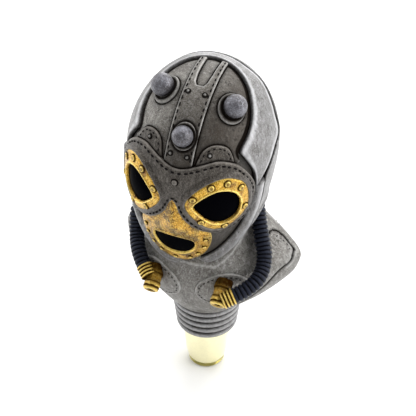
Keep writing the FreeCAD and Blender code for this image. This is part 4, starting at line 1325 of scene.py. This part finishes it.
def ferrule():
    """The polished cone on its ridged foot, with the lever's thread cut in its lower bore."""
    outside = smooth(FERRULE_CONE, 0.5, closed=False)
    inside_rows = [(THREAD_RADIUS, 29.2), (THREAD_RADIUS, 17.0), (5.4, 17.0), (5.4, 15.0)]
    profile = FERRULE_FOOT + outside.tolist() + [(13.3, 28.9), (12.9, 29.2)] + inside_rows
    segments = 96
    rings = revolved(table(profile), segments)
    turn = np.linspace(0, TAU, segments, endpoint=False)
    heights = np.linspace(THREAD_LENGTH, 0.0, 110)
    phase = (heights[:, None] / THREAD_PITCH - turn[None] / TAU) % 1.0
    started = np.clip((THREAD_LENGTH - heights) / 0.8, 0, 1)[:, None]
    radius = THREAD_RADIUS + THREAD_DEPTH * (0.5 - (1 - np.abs(2 * phase - 1)) * started)
    level = np.repeat(heights[:, None], segments, 1)
    bore = np.stack([radius * np.cos(turn), radius * np.sin(turn), level], axis=2)
    made = swept("ferrule_turned", np.concatenate([rings, bore]), ferrule_brass, closed=True, body="ferrule",
                 stands_for=("ferrule",), slot="ferrule_brass")
    made.data.materials.append(foot_brass)
    for face in made.data.polygons:
        across, back, up = face.center / MM
        face.material_index = int(up < FOOT_HEIGHT or math.hypot(across, back) < BORE_REACH)


ferrule()

# ---- Camera, floor and light ----

CAMERA_PLACE = (89.1, -274.3, 309.9)
CAMERA_TARGET = (0.0, 0.0, 105.4)
CAMERA_ROLL = math.radians(0.6)



def aimed(place, target):
    """Placement at a point, with -Z towards a target."""
    way = Vector(target) - Vector(place)
    return Matrix.Translation(place) @ way.to_track_quat("-Z", "Y").to_matrix().to_4x4()


roll = Matrix.Rotation(CAMERA_ROLL, 4, "Z")
camera = bpy.data.objects.new("camera", bpy.data.cameras.new("camera"))
camera.data.lens = 60.6
camera.data.sensor_width = 36
camera.data.clip_start = 0.01
camera.matrix_world = aimed(Vector(CAMERA_PLACE) * MM, Vector(CAMERA_TARGET) * MM) @ roll
bpy.context.scene.collection.objects.link(camera)
bpy.context.scene.camera = camera

FLOOR_REACH = 3.0
FLOOR_HEIGHT = -0.0004
corners = [(x * FLOOR_REACH, y * FLOOR_REACH, FLOOR_HEIGHT) for x, y in ((-1, -1), (1, -1), (1, 1), (-1, 1))]
floor_mesh = bpy.data.meshes.new("floor")
floor_mesh.from_pydata(corners, [], [(0, 1, 2, 3)])
floor_white = plain("floor_white", (0.93, 0.93, 0.93), 0.0, 0.8, scale=3, variation=0.0, grain=0.0)
floor_mesh.materials.append(floor_white)
floor = bpy.data.objects.new("floor", floor_mesh)
bpy.context.scene.collection.objects.link(floor)

world = bpy.data.worlds.new("studio")
world.use_nodes = True
background = world.node_tree.nodes["Background"]
background.inputs["Strength"].default_value = 1.0
direction = world.node_tree.nodes.new("ShaderNodeTexCoord")
parts = world.node_tree.nodes.new("ShaderNodeSeparateXYZ")
ramp = world.node_tree.nodes.new("ShaderNodeMapRange")
tint = world.node_tree.nodes.new("ShaderNodeCombineColor")
for key, number in (("From Min", -0.7), ("From Max", 0.4), ("To Min", 0.22), ("To Max", 1.05)):
    ramp.inputs[key].default_value = number
world.node_tree.links.new(direction.outputs["Generated"], parts.inputs["Vector"])
world.node_tree.links.new(parts.outputs["Y"], ramp.inputs["Value"])
for channel in ("Red", "Green", "Blue"):
    world.node_tree.links.new(ramp.outputs["Result"], tint.inputs[channel])
world.node_tree.links.new(tint.outputs["Color"], background.inputs["Color"])
bpy.context.scene.world = world
bpy.context.scene.view_settings.view_transform = "Standard"

# Soft boxes: place, aim point, width, height, watts (metres)
SOFT_BOXES = {
    "top_box": ((0.0, 0.12, 0.95), (0, 0, 0.1), 0.9, 0.7, 4.0),
    "left_box": ((-0.75, 0.05, 0.35), (0, 0, 0.12), 0.7, 0.7, 3.0),
    "right_box": ((0.75, 0.1, 0.4), (0, 0, 0.12), 0.7, 0.7, 5.5),
    "back_box": ((0.0, 0.85, 0.45), (0, 0, 0.12), 0.9, 0.7, 5.0),
    "front_box": ((-0.35, -0.75, 0.75), (0, 0, 0.12), 0.4, 0.4, 0.6),
}
for box_name, (place, towards, width, height, power) in SOFT_BOXES.items():
    lamp = bpy.data.lights.new(box_name, "AREA")
    lamp.shape = "RECTANGLE"
    lamp.size = width
    lamp.size_y = height
    lamp.energy = power
    made = bpy.data.objects.new(box_name, lamp)
    made.matrix_world = aimed(place, towards)
    bpy.context.scene.collection.objects.link(made)

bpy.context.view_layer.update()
